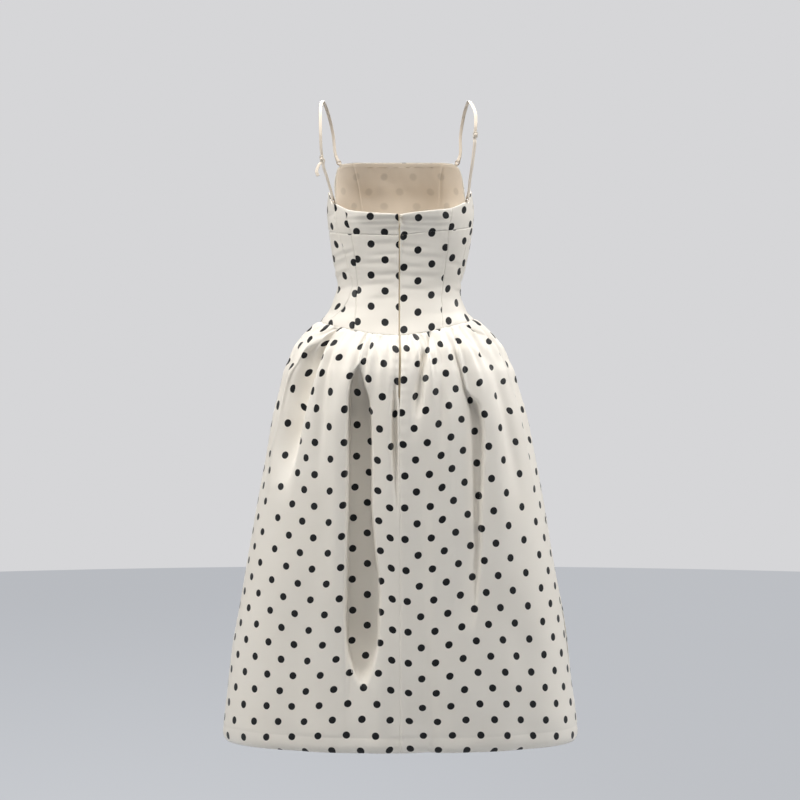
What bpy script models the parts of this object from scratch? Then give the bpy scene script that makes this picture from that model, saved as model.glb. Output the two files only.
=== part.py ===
"""A strappy fitted-bodice dress with a gathered midi skirt, hollow and in its worn form.

Metres, +Z up. The front faces -Y, the back +Y, and the wearer's left is +X. The origin lies
midway between the two places where the straps cross the shoulders. A "turn" is an angle in
degrees around the body: 0 at the centre back, 90 at the left side, 180 at the centre front.
"""

from collections import namedtuple

import bpy
import numpy as np
from mathutils import Matrix, Vector

# ---------------------------------------------------------------- driving sizes

SEAM_GAP = 0.0003  # between two pieces that are sewn together
SHELL = 0.0015  # wall of the dotted cloth
LINING = 0.0010
LINING_GAP = 0.0012  # inside the dotted panels
LINING_TOP_DROP, LINING_WAIST_RISE = 0.0016, 0.0020
HEM_Z = -1.182
OVAL_POWER = 2.3  # 2 is an ellipse, and more is squarer
SKIRT_POWER = 2.05

WAIST_SEAM_SIDE_Z = -0.4045
WAIST_SEAM_DIP = 0.0240  # lower at the centre back and centre front than at the sides
WAIST_SEAM_TILT = 0.0025  # lower on the left
BAND_SEAM_TILT = 0.0045
TOP_EDGE_TILT = 0.0020

BUST_RISE, BUST_TURN, BUST_SPREAD = 0.009, 34.0, 20.0  # degrees from the centre front
BUST_Z, BUST_HEIGHT = -0.205, 0.045

HEM_ROLL_HEIGHT, HEM_ROLL_DEPTH = 0.015, 0.008

STRAP_WIDTH, STRAP_THICK = 0.0060, 0.0010
LOOP_BAR = 0.0012  # side of the flat wire of the rings and strap sliders
RING_WIDTH, RING_HEIGHT = 0.0092, 0.0062
ADJUSTER_WIDTH, ADJUSTER_HEIGHT = 0.0092, 0.0104
TURN_RADIUS = 0.00155  # of a strap's middle, where it turns round a bar
TAB_STAND = 0.0005  # above the top edge
RING_STAND = 0.0030
STRAP_LEAD = 0.012  # where a strap leaves a ring in line with it

ZIP_TAPE_WIDTH, ZIP_TAPE_THICK = 0.009, 0.0010
ZIP_TAPE_STAND_OFF = 0.0042  # where the skirt's folds begin
ZIP_TAPE_ROWS = (
    -0.2115, -0.230, -0.250, -0.270, -0.290, -0.310, -0.330, -0.345, -0.360, -0.375, -0.390, -0.405,
    -0.418, -0.4265, -0.433, -0.440, -0.450, -0.465, -0.485, -0.510, -0.540,
)  # fmt: skip
LINING_ZIP_OPENING = 0.013

# ---------------------------------------------------------------- tables

Section = namedtuple("Section", "z half_width front back shift")
# Depths run from the middle of the body, and shift is how far a section's middle lies to the left.
BODY = (
    Section(-0.440, 0.1540, 0.1020, 0.1165, 0.0035),
    Section(-0.430, 0.1500, 0.1000, 0.1120, 0.0035),
    Section(-0.405, 0.1425, 0.0960, 0.1005, 0.0037),
    Section(-0.389, 0.1288, 0.0928, 0.0945, 0.0046),
    Section(-0.378, 0.1232, 0.0905, 0.0908, 0.0040),
    Section(-0.365, 0.1184, 0.0880, 0.0868, 0.0045),
    Section(-0.352, 0.1154, 0.0862, 0.0835, 0.0030),
    Section(-0.339, 0.1141, 0.0852, 0.0812, 0.0012),
    Section(-0.322, 0.1180, 0.0862, 0.0802, 0.0005),
    Section(-0.298, 0.1227, 0.0920, 0.0815, 0.0000),
    Section(-0.274, 0.1277, 0.1005, 0.0840, -0.0008),
    Section(-0.239, 0.1327, 0.1115, 0.0875, -0.0012),
    Section(-0.206, 0.1355, 0.1190, 0.0890, -0.0009),
    Section(-0.181, 0.1355, 0.1190, 0.0890, -0.0005),
    Section(-0.150, 0.1400, 0.1125, 0.0870, 0.0020),
    Section(-0.110, 0.1420, 0.1010, 0.0840, 0.0035),
)

SKIRT = (
    Section(-1.182, 0.3350, 0.1720, 0.1770, 0.0),
    Section(-1.147, 0.3330, 0.1715, 0.1765, 0.0),
    Section(-1.107, 0.3278, 0.1710, 0.1760, 0.0),
    Section(-1.051, 0.3210, 0.1700, 0.1750, 0.0),
    Section(-0.988, 0.3136, 0.1690, 0.1735, 0.0),
    Section(-0.894, 0.2969, 0.1675, 0.1715, 0.0),
    Section(-0.820, 0.2840, 0.1660, 0.1700, 0.0),
    Section(-0.735, 0.2692, 0.1640, 0.1685, 0.0),
    Section(-0.644, 0.2525, 0.1605, 0.1665, 0.0),
    Section(-0.581, 0.2405, 0.1560, 0.1640, 0.0),
    Section(-0.524, 0.2248, 0.1480, 0.1580, 0.0),
    Section(-0.496, 0.2165, 0.1410, 0.1520, 0.0),
    Section(-0.478, 0.2063, 0.1350, 0.1450, 0.0),
    Section(-0.455, 0.1943, 0.1240, 0.1330, 0.0),
    Section(-0.433, 0.1758, 0.1090, 0.1150, 0.0),
    Section(-0.415, 0.1573, 0.0960, 0.1020, 0.0),
    Section(-0.400, 0.1425, 0.0870, 0.0930, 0.0),
)

EdgePoint = namedtuple("EdgePoint", "turn z")
TOP_EDGE = (
    EdgePoint(0, -0.2090),
    EdgePoint(8, -0.2073),
    EdgePoint(24, -0.2050),
    EdgePoint(40, -0.2023),
    EdgePoint(52, -0.1997),
    EdgePoint(62, -0.1928),
    EdgePoint(67, -0.1888),
    EdgePoint(72.6, -0.1880),
    EdgePoint(74.8, -0.1800),
    EdgePoint(77, -0.1670),  # the small peak beside the strap
    EdgePoint(81, -0.1790),
    EdgePoint(86, -0.1925),
    EdgePoint(94, -0.2020),
    EdgePoint(104, -0.2055),
    EdgePoint(111, -0.2050),
    EdgePoint(115.5, -0.1960),
    EdgePoint(117.5, -0.1680),
    EdgePoint(119, -0.1400),
    EdgePoint(121.5, -0.1210),
    EdgePoint(127, -0.1125),
    EdgePoint(140, -0.1102),
    EdgePoint(180, -0.1100),
)
EDGE_CORNERS = (67, 72.6, 77, 81, 115.5, 118, 121.5)
BAND_SEAM = (
    EdgePoint(0, -0.2475),
    EdgePoint(25, -0.2445),
    EdgePoint(55, -0.2412),
    EdgePoint(90, -0.2343),
    EdgePoint(108, -0.2325),
    EdgePoint(122, -0.2260),
    EdgePoint(140, -0.2020),
    EdgePoint(160, -0.1720),
    EdgePoint(180, -0.1620),
)

SeamRow = namedtuple("SeamRow", "z back_left back_right side_left side_right front")
# Turns of the upright bodice seams. Those on the right are measured the other way round.
SEAMS = (
    SeamRow(-0.440, 39.0, 39.0, 68.0, 88.0, 146.0),
    SeamRow(-0.405, 41.5, 43.0, 67.5, 87.0, 148.0),
    SeamRow(-0.385, 44.2, 46.8, 60.5, 85.0, 149.5),
    SeamRow(-0.362, 47.0, 49.5, 55.2, 83.0, 150.5),
    SeamRow(-0.340, 49.4, 51.3, 54.8, 80.0, 151.0),
    SeamRow(-0.310, 50.4, 51.8, 58.8, 74.5, 150.5),
    SeamRow(-0.278, 51.2, 52.0, 61.4, 72.5, 149.5),
    SeamRow(-0.245, 52.7, 51.0, 66.0, 77.0, 148.5),
    SeamRow(-0.210, 56.5, 53.0, 68.5, 81.0, 147.5),
    SeamRow(-0.165, 60.0, 57.0, 71.0, 85.0, 144.0),
    SeamRow(-0.110, 63.0, 60.0, 73.0, 88.0, 135.0),
)

GatherRow = namedtuple("GatherRow", "drop height")
# Height of the small gathers, by the drop below the waist seam.
GATHERS = (
    GatherRow(0.000, 0.0008),
    GatherRow(0.006, 0.0018),
    GatherRow(0.018, 0.0031),
    GatherRow(0.035, 0.0034),
    GatherRow(0.060, 0.0022),
    GatherRow(0.090, 0.0009),
    GatherRow(0.130, 0.0000),
)

Fold = namedtuple(
    "Fold", "turn_top turn_middle turn_low drop_top drop_low depth left_width right_width"
)
# A positive depth is a valley and a negative one a ridge. Widths are in degrees of turn, and the
# left one is towards a greater turn. The turns are where the fold starts, is half way, and ends.
FOLDS = (
    # back, left of the zip
    Fold(3.4, 3.6, 3.0, 0.05, 0.34, 0.0075, 1.9, 1.9),
    Fold(27.5, 29.0, 25.0, 0.04, 0.72, 0.0300, 3.2, 12.5),
    Fold(37.0, 36.0, 35.0, 0.03, 0.60, -0.0060, 4.5, 4.0),
    Fold(46.0, 46.5, 46.0, 0.01, 0.30, 0.0060, 3.5, 3.0),
    Fold(53.0, 60.0, 64.0, 0.01, 0.33, 0.0170, 6.5, 2.8),
    Fold(70.0, 70.5, 71.0, 0.03, 0.42, -0.0050, 5.0, 5.0),
    Fold(80.0, 81.0, 82.0, 0.02, 0.34, 0.0060, 4.0, 4.0),
    Fold(52.0, 54.0, 55.0, 0.40, 1.20, 0.0055, 7.0, 7.0),
    Fold(12.0, 12.0, 11.0, 0.50, 1.20, -0.0040, 5.0, 5.0),
    # back, right of the zip
    Fold(-22.0, -13.0, -8.5, 0.01, 0.20, 0.0080, 2.6, 2.6),
    Fold(-31.0, -27.0, -25.0, 0.01, 0.24, 0.0055, 3.0, 3.0),
    Fold(-44.0, -45.0, -42.0, 0.01, 0.40, 0.0095, 4.5, 2.4),
    Fold(-53.0, -54.0, -54.0, 0.02, 0.50, -0.0045, 5.0, 5.0),
    Fold(-62.0, -64.0, -65.0, 0.01, 0.36, 0.0080, 4.0, 3.0),
    Fold(-78.0, -80.0, -81.0, 0.02, 0.38, 0.0070, 4.0, 4.0),
    Fold(-20.0, -21.0, -22.0, 0.42, 1.20, 0.0045, 6.0, 6.0),
    Fold(-60.0, -61.0, -62.0, 0.45, 1.20, 0.0050, 6.0, 6.0),
    # front
    Fold(99.0, 98.0, 98.0, 0.02, 0.40, 0.0080, 4.0, 4.0),
    Fold(114.0, 112.0, 111.0, 0.02, 0.48, 0.0150, 3.5, 6.0),
    Fold(129.0, 128.0, 127.0, 0.01, 0.36, 0.0070, 3.5, 3.5),
    Fold(143.0, 144.0, 145.0, 0.03, 0.60, 0.0170, 7.0, 3.6),
    Fold(158.0, 158.0, 158.0, 0.01, 0.32, 0.0060, 3.2, 3.2),
    Fold(171.0, 172.0, 173.0, 0.02, 0.44, 0.0110, 3.6, 5.0),
    Fold(187.0, 186.0, 186.0, 0.01, 0.34, 0.0065, 3.2, 3.2),
    Fold(202.0, 203.0, 204.0, 0.03, 0.66, 0.0190, 3.4, 8.0),
    Fold(217.0, 217.0, 216.0, 0.01, 0.30, 0.0060, 3.4, 3.4),
    Fold(231.0, 232.0, 234.0, 0.02, 0.50, 0.0120, 5.0, 3.4),
    Fold(246.0, 246.0, 246.0, 0.01, 0.38, 0.0070, 3.6, 3.6),
    Fold(259.0, 261.0, 262.0, 0.02, 0.40, 0.0080, 4.0, 4.0),
    Fold(125.0, 125.0, 125.0, 0.50, 1.20, 0.0050, 7.0, 7.0),
    Fold(180.0, 181.0, 182.0, 0.50, 1.20, 0.0045, 7.0, 7.0),
    Fold(236.0, 236.0, 236.0, 0.50, 1.20, 0.0050, 7.0, 7.0),
)

SkirtPanel = namedtuple("SkirtPanel", "start end gathers sway seed")
SKIRT_PANELS = {
    "skirt_back_left": SkirtPanel(0, 90, 12, 0.020, 3),
    "skirt_back_right": SkirtPanel(-90, 0, 12, -0.018, 5),
    "skirt_front": SkirtPanel(90, 270, 24, 0.012, 8),
}
FINE_DROPS = (0.0, 0.008, 0.022, 0.043)  # rows with four columns to a gather
COARSE_DROPS = (0.068, 0.100, 0.140, 0.190, 0.255, 0.345, 0.460, 0.600)
HEM_ROW_HEIGHTS = (0.020, 0.008, 0.0)  # above the hem

StrapPoint = namedtuple("StrapPoint", "x y z")
STRAP_LEFT = (  # from the front ring, over the shoulder and down the back
    StrapPoint(0.1231, -0.0700, -0.0680),
    StrapPoint(0.1280, -0.0640, -0.0436),
    StrapPoint(0.1325, -0.0500, -0.0240),
    StrapPoint(0.1385, -0.0280, -0.0065),
    StrapPoint(0.1422, 0.0000, 0.0000),
    StrapPoint(0.1448, 0.0280, -0.0070),
    StrapPoint(0.1455, 0.0500, -0.0260),
    StrapPoint(0.1447, 0.0630, -0.0680),
    StrapPoint(0.1427, 0.0600, -0.1080),
    StrapPoint(0.1330, 0.0530, -0.1430),
)
STRAP_RIGHT = (
    StrapPoint(-0.1118, -0.0700, -0.0680),
    StrapPoint(-0.1162, -0.0640, -0.0400),
    StrapPoint(-0.1195, -0.0490, -0.0200),
    StrapPoint(-0.1240, -0.0270, -0.0060),
    StrapPoint(-0.1268, 0.0000, 0.0000),
    StrapPoint(-0.1320, 0.0270, -0.0080),
    StrapPoint(-0.1385, 0.0480, -0.0300),
    StrapPoint(-0.1375, 0.0600, -0.0640),
    StrapPoint(-0.1330, 0.0600, -0.1100),
    StrapPoint(-0.1280, 0.0530, -0.1450),
)
SPARE_END_LEFT = (  # below the adjuster that it comes out of
    StrapPoint(0.1474, 0.0506, -0.1175),
    StrapPoint(0.1508, 0.0530, -0.1245),
    StrapPoint(0.1524, 0.0550, -0.1310),
    StrapPoint(0.1495, 0.0565, -0.1390),
)
StrapSide = namedtuple("StrapSide", "route front_turn back_turn adjuster_z spare_end")
STRAPS = {
    "left": StrapSide(STRAP_LEFT, 124.0, 70.0, -0.1080, SPARE_END_LEFT),
    "right": StrapSide(STRAP_RIGHT, -124.0, -70.0, -0.0640, ()),
}


def wrapped(turn):
    """The same turn between -180 and 180."""
    return (np.asarray(turn, float) + 180.0) % 360.0 - 180.0


def curve(table, along, value):
    """A smooth function through a column of a table, which doesn't overshoot between its rows."""
    rows = sorted(table, key=lambda row: getattr(row, along))
    x = np.array([getattr(row, along) for row in rows], float)
    y = np.array([getattr(row, value) for row in rows], float)
    step = np.diff(x)
    rise = np.diff(y) / step
    slope = np.zeros(len(x))
    slope[0], slope[-1] = rise[0], rise[-1]
    for i in range(1, len(x) - 1):
        if rise[i - 1] * rise[i] > 0:
            before = step[i - 1] + 2 * step[i]
            after = 2 * step[i - 1] + step[i]
            slope[i] = (before + after) / (before / rise[i] + after / rise[i - 1])

    def at(where):
        where = np.clip(where, x[0], x[-1])
        i = np.clip(np.searchsorted(x, where, side="right") - 1, 0, len(step) - 1)
        t = (where - x[i]) / step[i]
        return (
            (1 + 2 * t) * (1 - t) ** 2 * y[i]
            + t * (1 - t) ** 2 * step[i] * slope[i]
            + t**2 * (3 - 2 * t) * y[i + 1]
            + t**2 * (t - 1) * step[i] * slope[i + 1]
        )

    return at


def ease(t):
    """0 to 1, with a flat start and end."""
    t = np.clip(t, 0.0, 1.0)
    return t * t * (3 - 2 * t)


# ---------------------------------------------------------------- the body's form

body_half_width, body_front, body_back, body_shift = (
    curve(BODY, "z", column) for column in ("half_width", "front", "back", "shift")
)
skirt_half_width, skirt_front_depth, skirt_back_depth = (
    curve(SKIRT, "z", column) for column in ("half_width", "front", "back")
)
top_edge_curve = curve(TOP_EDGE, "turn", "z")
band_seam_curve = curve(BAND_SEAM, "turn", "z")
gather_height = curve(GATHERS, "drop", "height")


def oval(turn, half_width, depth, power):
    across = np.abs(np.sin(np.radians(turn))) / half_width
    along = np.abs(np.cos(np.radians(turn))) / depth
    return (across**power + along**power) ** (-1 / power)


def body_radius(turn, z):
    facing_back = np.cos(np.radians(turn)) > 0
    depth = np.where(facing_back, body_back(z), body_front(z))
    radius = oval(turn, body_half_width(z), depth, OVAL_POWER)
    from_front = 180.0 - np.abs(wrapped(turn))
    bust = ((from_front - BUST_TURN) / BUST_SPREAD) ** 2 + ((z - BUST_Z) / BUST_HEIGHT) ** 2
    return radius + BUST_RISE * np.exp(-bust)


def placed(turn, radius, z, shift):
    angle = np.radians(turn)
    return np.stack([radius * np.sin(angle) + shift, radius * np.cos(angle), z], axis=-1)


def body_surface(turn, z):
    turn, z = np.broadcast_arrays(np.asarray(turn, float), np.asarray(z, float))
    return placed(turn, body_radius(turn, z), z, body_shift(z))


def waist_seam(turn):
    angle = np.radians(turn)
    return WAIST_SEAM_SIDE_Z - WAIST_SEAM_DIP * np.cos(angle) ** 2 - WAIST_SEAM_TILT * np.sin(angle)


def band_seam(turn):
    return band_seam_curve(np.abs(wrapped(turn))) - BAND_SEAM_TILT * np.sin(np.radians(turn))


def top_edge(turn):
    turn = wrapped(turn)
    on_back = np.abs(turn) < 90
    tilt = np.where(on_back, TOP_EDGE_TILT * np.sin(np.radians(2 * turn)), 0.0)
    return top_edge_curve(np.abs(turn)) - tilt


# ---------------------------------------------------------------- the skirt's form


def fold_depth(turn, drop):
    """How far the large folds push the skirt inwards."""
    total = np.zeros(np.broadcast(turn, drop).shape)
    for fold in FOLDS:
        t = (drop - fold.drop_top) / (fold.drop_low - fold.drop_top)
        course = (
            fold.turn_top * (1 - t) * (1 - 2 * t)
            + fold.turn_middle * 4 * t * (1 - t)
            + fold.turn_low * t * (2 * t - 1)
        )
        offset = wrapped(turn - np.where((t > 0) & (t < 1), course, fold.turn_middle))
        width = np.where(offset > 0, fold.left_width, fold.right_width)
        strength = ease(t / 0.22) * ease((1 - t) / 0.45)
        total = total + fold.depth * strength * np.exp(-((offset / width) ** 2))
    return total


def gather_phase(panel, t):
    """How many gathers lie before a place in the panel, unevenly spaced."""
    sway = panel.sway * (np.sin(2 * np.pi * t) + 0.6 * np.sin(6 * np.pi * t + 1) - 0.6 * np.sin(1))
    return panel.gathers * (t + sway)


def gather_rise(turn, drop):
    """How far the small gathers lift the skirt, with each gather of its own height."""
    turn = wrapped(turn)
    total = np.zeros(np.broadcast(turn, drop).shape)
    for panel in SKIRT_PANELS.values():
        t = ((turn - panel.start) % 360.0) / (panel.end - panel.start)
        inside = t <= 1.0
        phase = gather_phase(panel, np.clip(t, 0, 1))
        heights = np.random.default_rng(panel.seed).uniform(0.55, 1.35, panel.gathers)
        own = heights[np.clip(phase.astype(int), 0, panel.gathers - 1)]
        wave = own * (1 - np.cos(2 * np.pi * phase))
        total = np.where(inside, wave, total)
    return total * gather_height(drop)


def skirt_radius(turn, z):
    seam_z = waist_seam(turn)
    drop = np.maximum(seam_z - z, 0.0)
    facing_back = np.cos(np.radians(turn)) > 0

    def plain(height):
        depth = np.where(facing_back, skirt_back_depth(height), skirt_front_depth(height))
        return oval(turn, skirt_half_width(height), depth, SKIRT_POWER)

    into_roll = np.clip((HEM_Z + HEM_ROLL_HEIGHT - z) / HEM_ROLL_HEIGHT, 0.0, 0.97)
    roll = HEM_ROLL_DEPTH * (1 - np.sqrt(1 - into_roll**2))
    radius = body_radius(turn, seam_z) + plain(z) - plain(seam_z)
    return radius + gather_rise(turn, drop) - fold_depth(turn, drop) - roll


def skirt_surface(turn, z):
    turn, z = np.broadcast_arrays(np.asarray(turn, float), np.asarray(z, float))
    seam_z = waist_seam(turn)
    fade = ease((seam_z - z) / 0.30)
    shift = body_shift(seam_z) * (1 - fade)
    return placed(turn, skirt_radius(turn, z), z, shift)


# ---------------------------------------------------------------- cloth walls


def outward(surface, turn, z, lowest=-2.0, highest=0.0):
    """Unit normals of a surface, kept to the side of a height where the surface stops."""
    d_turn, d_z = 0.15, 0.0006
    above, below = np.minimum(z + d_z, highest), np.maximum(z - d_z, lowest)
    around = surface(turn + d_turn, z) - surface(turn - d_turn, z)
    up = surface(turn, above) - surface(turn, below)
    normal = np.cross(up, around)
    return normal / np.linalg.norm(normal, axis=-1, keepdims=True)


def material(name, colour, roughness, metallic=0.0):
    made = bpy.data.materials.get(name)
    if made is None:
        made = bpy.data.materials.new(name)
        made.use_nodes = True
        shader = made.node_tree.nodes["Principled BSDF"]
        shader.inputs["Base Color"].default_value = (*colour, 1.0)
        shader.inputs["Roughness"].default_value = roughness
        shader.inputs["Metallic"].default_value = metallic
    return made


def dotted_cloth():
    return material("dotted_satin", (0.86, 0.83, 0.77), 0.45)


def lining_cloth():
    return material("lining_cloth", (0.62, 0.52, 0.41), 0.60)


def strap_satin():
    return material("strap_satin", (0.84, 0.78, 0.68), 0.40)


def metal():
    return material("metal", (0.60, 0.58, 0.55), 0.30, 1.0)


def add_object(name, points, faces, made_of):
    mesh = bpy.data.meshes.new(name)
    mesh.from_pydata([tuple(map(float, p)) for p in points], [], faces)
    mesh.validate()
    mesh.shade_smooth()
    mesh.set_sharp_from_angle(angle=np.radians(50))
    obj = bpy.data.objects.new(name, mesh)
    obj.data.materials.append(made_of)
    bpy.context.scene.collection.objects.link(obj)
    return obj


def wall(name, outer, inner, made_of):
    """A closed wall between two sets of rows of points, the first row at the top. A row holds as
    many points as the one above it, or half as many spaces."""
    starts = np.cumsum([0] + [len(row) for row in outer])
    count = starts[-1]
    points = np.concatenate([*outer, *inner])
    faces = []
    for i in range(len(outer) - 1):
        top, low = starts[i], starts[i + 1]
        if len(outer[i]) == len(outer[i + 1]):
            for j in range(len(outer[i]) - 1):
                faces.append((top + j, top + j + 1, low + j + 1))
                faces.append((top + j, low + j + 1, low + j))
        else:
            for j in range(len(outer[i + 1]) - 1):
                left, middle, right = top + 2 * j, top + 2 * j + 1, top + 2 * j + 2
                faces.append((left, middle, low + j))
                faces.append((middle, low + j + 1, low + j))
                faces.append((middle, right, low + j + 1))
    faces += [tuple(count + corner for corner in reversed(face)) for face in faces]
    first = list(range(starts[1]))
    last = list(range(starts[-2], starts[-1]))
    left_side = [starts[i] for i in range(len(outer))]
    right_side = [starts[i + 1] - 1 for i in range(len(outer))]
    rim = first + right_side[1:] + last[::-1][1:] + left_side[::-1][1:-1]
    for a, b in zip(rim, rim[1:] + rim[:1]):
        faces.append((b, a, count + a, count + b))
    return add_object(name, points, faces, made_of)


def laid(surface, turns, heights, near, far, **limits):
    """Two rows of points a distance in from a surface. near is the outer one."""
    base = surface(turns, heights)
    normal = outward(surface, turns, heights, **limits)
    return base - normal * near, base - normal * far


def panel_columns(from_seam, to_seam, count):
    """Fractions of a panel's width, closer together where the top edge is steep, with a column at
    each of that edge's corners."""
    middle_z = band_seam(0.0)
    t = np.linspace(0, 1, 400)
    turns = from_seam(middle_z) + (to_seam(middle_z) - from_seam(middle_z)) * t
    measure = np.zeros(len(t))
    for edge in (waist_seam, top_edge):
        line = body_surface(turns, edge(turns))
        steps = np.linalg.norm(np.diff(line, axis=0), axis=1)
        measure[1:] += np.cumsum(steps) / steps.sum()
    fractions = np.interp(np.linspace(0, measure[-1], count + 1), measure, t)
    free = set(range(1, count))
    for corner in (*EDGE_CORNERS, *(-turn for turn in EDGE_CORNERS)):
        z = top_edge(corner)
        fraction = (corner - from_seam(z)) / (to_seam(z) - from_seam(z))
        if 0.02 < fraction < 0.98:
            nearest = min(free, key=lambda i: abs(fractions[i] - fraction))
            fractions[nearest] = fraction
            free.remove(nearest)
    return np.sort(fractions)


def seam(column, side=1.0):
    turn_at = curve(SEAMS, "z", column)
    return lambda z: side * turn_at(z)


def panel_grid(panel, edges, levels, gap):
    """The turns and heights of a bodice panel's points, in rows from the top. It lies between two
    upright seams and two level ones, each half a gap away."""
    from_seam, to_seam, columns = panel
    bottom, top = edges
    middle_z = (bottom(0.0) + top(0.0)) / 2
    across = panel_columns(from_seam, to_seam, columns)
    turn_rows, z_rows = [], []
    for level in levels:
        z = np.full(len(across), middle_z)
        for _ in range(6):  # a seam's turn depends on the height, and an edge's height on the turn
            left, right = from_seam(z), to_seam(z)
            left = left + np.degrees(gap / 2 / body_radius(left, z))
            right = right - np.degrees(gap / 2 / body_radius(right, z))
            turns = left + (right - left) * across
            low, high = bottom(turns) + gap * 0.7, top(turns) - gap * 0.7
            z = low + (high - low) * level
        turn_rows.append(turns)
        z_rows.append(z)
    return np.array(turn_rows), np.array(z_rows)


# ---------------------------------------------------------------- bodice


def centre_seam(z):
    return 0.0 * z


def front_seam_on_right(z):
    """The right front seam's turn, counted on from the left one's."""
    return 360.0 - seam("front")(z)


BODICE_PANELS = {  # name: the two seams, in the order of rising turn, and its columns
    "back_left": (centre_seam, seam("back_left"), 6),
    "side_back_left": (seam("back_left"), seam("side_left"), 4),
    "side_front_left": (seam("side_left"), seam("front"), 14),
    "front": (seam("front"), front_seam_on_right, 12),
    "side_front_right": (seam("front", -1.0), seam("side_right", -1.0), 11),
    "side_back_right": (seam("side_right", -1.0), seam("back_right", -1.0), 9),
    "back_right": (seam("back_right", -1.0), centre_seam, 6),
}


BODY_LEVELS = (1.0, 0.78, 0.60, 0.45, 0.33, 0.23, 0.14, 0.07, 0.0)  # parts of a panel's height
BAND_LEVELS = (1.0, 0.75, 0.4, 0.0)


def make_bodice():
    for name, panel in BODICE_PANELS.items():
        for part, edges, levels in (
            ("bodice_", (waist_seam, band_seam), BODY_LEVELS),
            ("band_", (band_seam, top_edge), BAND_LEVELS),
        ):
            grid = panel_grid(panel, edges, levels, SEAM_GAP)
            wall(part + name, *laid(body_surface, *grid, 0.0, SHELL), dotted_cloth())


def make_lining():
    """The lining stands just inside the panels, follows their rows, and stops beside the zip."""
    halves = []
    for edges, levels in (
        ((band_seam, top_edge), BAND_LEVELS[:-1]),
        ((waist_seam, band_seam), BODY_LEVELS),
    ):
        pieces = [panel_grid(panel, edges, levels, 0.0) for panel in BODICE_PANELS.values()]
        turns = [wrapped(pieces[0][0])] + [piece[0][:, 1:] for piece in pieces[1:]]
        heights = [pieces[0][1]] + [piece[1][:, 1:] for piece in pieces[1:]]
        halves.append((np.concatenate(turns, axis=1), np.concatenate(heights, axis=1)))
    turns = np.concatenate([half[0] for half in halves])
    heights = np.concatenate([half[1] for half in halves])
    opening = np.degrees(LINING_ZIP_OPENING / 2 / body_radius(0.0, heights[:, 0]))
    turns[:, 0] += opening
    turns[:, -1] -= opening
    heights[0] -= LINING_TOP_DROP
    heights[-1] += LINING_WAIST_RISE
    near = SHELL + LINING_GAP
    wall("bodice_lining", *laid(body_surface, turns, heights, near, near + LINING), lining_cloth())


# ---------------------------------------------------------------- skirt


def gather_turns(panel):
    """The turns of the panel's columns, four to a gather, so that each crest has one."""
    t = np.linspace(0, 1, 2000)
    wanted = np.arange(4 * panel.gathers + 1) / 4
    return panel.start + (panel.end - panel.start) * np.interp(wanted, gather_phase(panel, t), t)


def make_skirt():
    for name, panel in SKIRT_PANELS.items():
        fine = gather_turns(panel)
        outer, inner = [], []
        for row, drop in enumerate((*FINE_DROPS, *COARSE_DROPS, *HEM_ROW_HEIGHTS)):
            turns = (fine if row < len(FINE_DROPS) else fine[::2]).copy()
            seam_z = waist_seam(turns) - 1.5 * SEAM_GAP
            near_hem = row >= len(FINE_DROPS) + len(COARSE_DROPS)
            z = np.full(len(turns), HEM_Z + drop) if near_hem else seam_z - drop
            gap = np.degrees(SEAM_GAP / 2 / skirt_radius(turns[[0, -1]], z[[0, -1]]))
            turns[0] += gap[0]
            turns[-1] -= gap[1]
            limits = {"lowest": HEM_Z, "highest": seam_z}
            near_row, far_row = laid(skirt_surface, turns, z, 0.0, SHELL, **limits)
            outer.append(near_row)
            inner.append(far_row)
        wall(name, outer, inner, dotted_cloth())


# ---------------------------------------------------------------- zip


def strip(name, middle, across, facing, width, thick, made_of):
    """A flat strip along a line of middle points, with a direction across it and one it faces."""
    sides = [
        middle + s * across * width / 2 + n * facing * thick / 2
        for s, n in ((-1, 1), (1, 1), (1, -1), (-1, -1))
    ]
    count = len(middle)
    points = np.stack(sides, axis=1).reshape(-1, 3)
    faces = []
    for i in range(count - 1):
        for k in range(4):
            a, b = 4 * i + k, 4 * i + (k + 1) % 4
            faces.append((a, a + 4, b + 4, b))
    faces.append((0, 1, 2, 3))
    last = 4 * (count - 1)
    faces.append((last + 3, last + 2, last + 1, last))
    obj = add_object(name, points, faces, made_of)
    volume = sum(
        Vector(points[f[0]]).dot(Vector(points[f[j]]).cross(Vector(points[f[j + 1]])))
        for f in faces
        for j in range(1, len(f) - 1)
    )
    if volume < 0:
        obj.data.flip_normals()
    return obj


def make_zip_tape():
    """The tape follows the inside of the centre-back seam, past the waist seam into the skirt."""
    outer, inner = [], []
    for z in ZIP_TAPE_ROWS:
        surface = body_surface if z > waist_seam(0.0) else skirt_surface
        near = SHELL + 0.0007 + ZIP_TAPE_STAND_OFF * ease((waist_seam(0.0) - z - 0.02) / 0.04)
        radius = np.linalg.norm(surface(0.0, z)[:2])
        turns = np.degrees(np.linspace(-0.5, 0.5, 5) * ZIP_TAPE_WIDTH / radius)
        near_row, far_row = laid(surface, turns, np.full(5, z), near, near + ZIP_TAPE_THICK)
        outer.append(near_row)
        inner.append(far_row)
    wall("zip_tape", outer, inner, strap_satin())


SLIDER_WIDTH, SLIDER_HEIGHT, SLIDER_THICK = 0.0042, 0.0072, 0.0010
LUG_OFFSET, LUG_THICK, LUG_HEIGHT, LUG_REACH = 0.0015, 0.0006, 0.0024, 0.0023
PIN_RADIUS, PIN_FROM_PLATE = 0.00045, 0.0015
EYE_RADIUS, EYE_HOLE, EYE_WIDTH = 0.0012, 0.00075, 0.0018
PULL_THICK, PULL_LENGTH = 0.0009, 0.0135
SLIDER_Z = -0.2140


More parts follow.
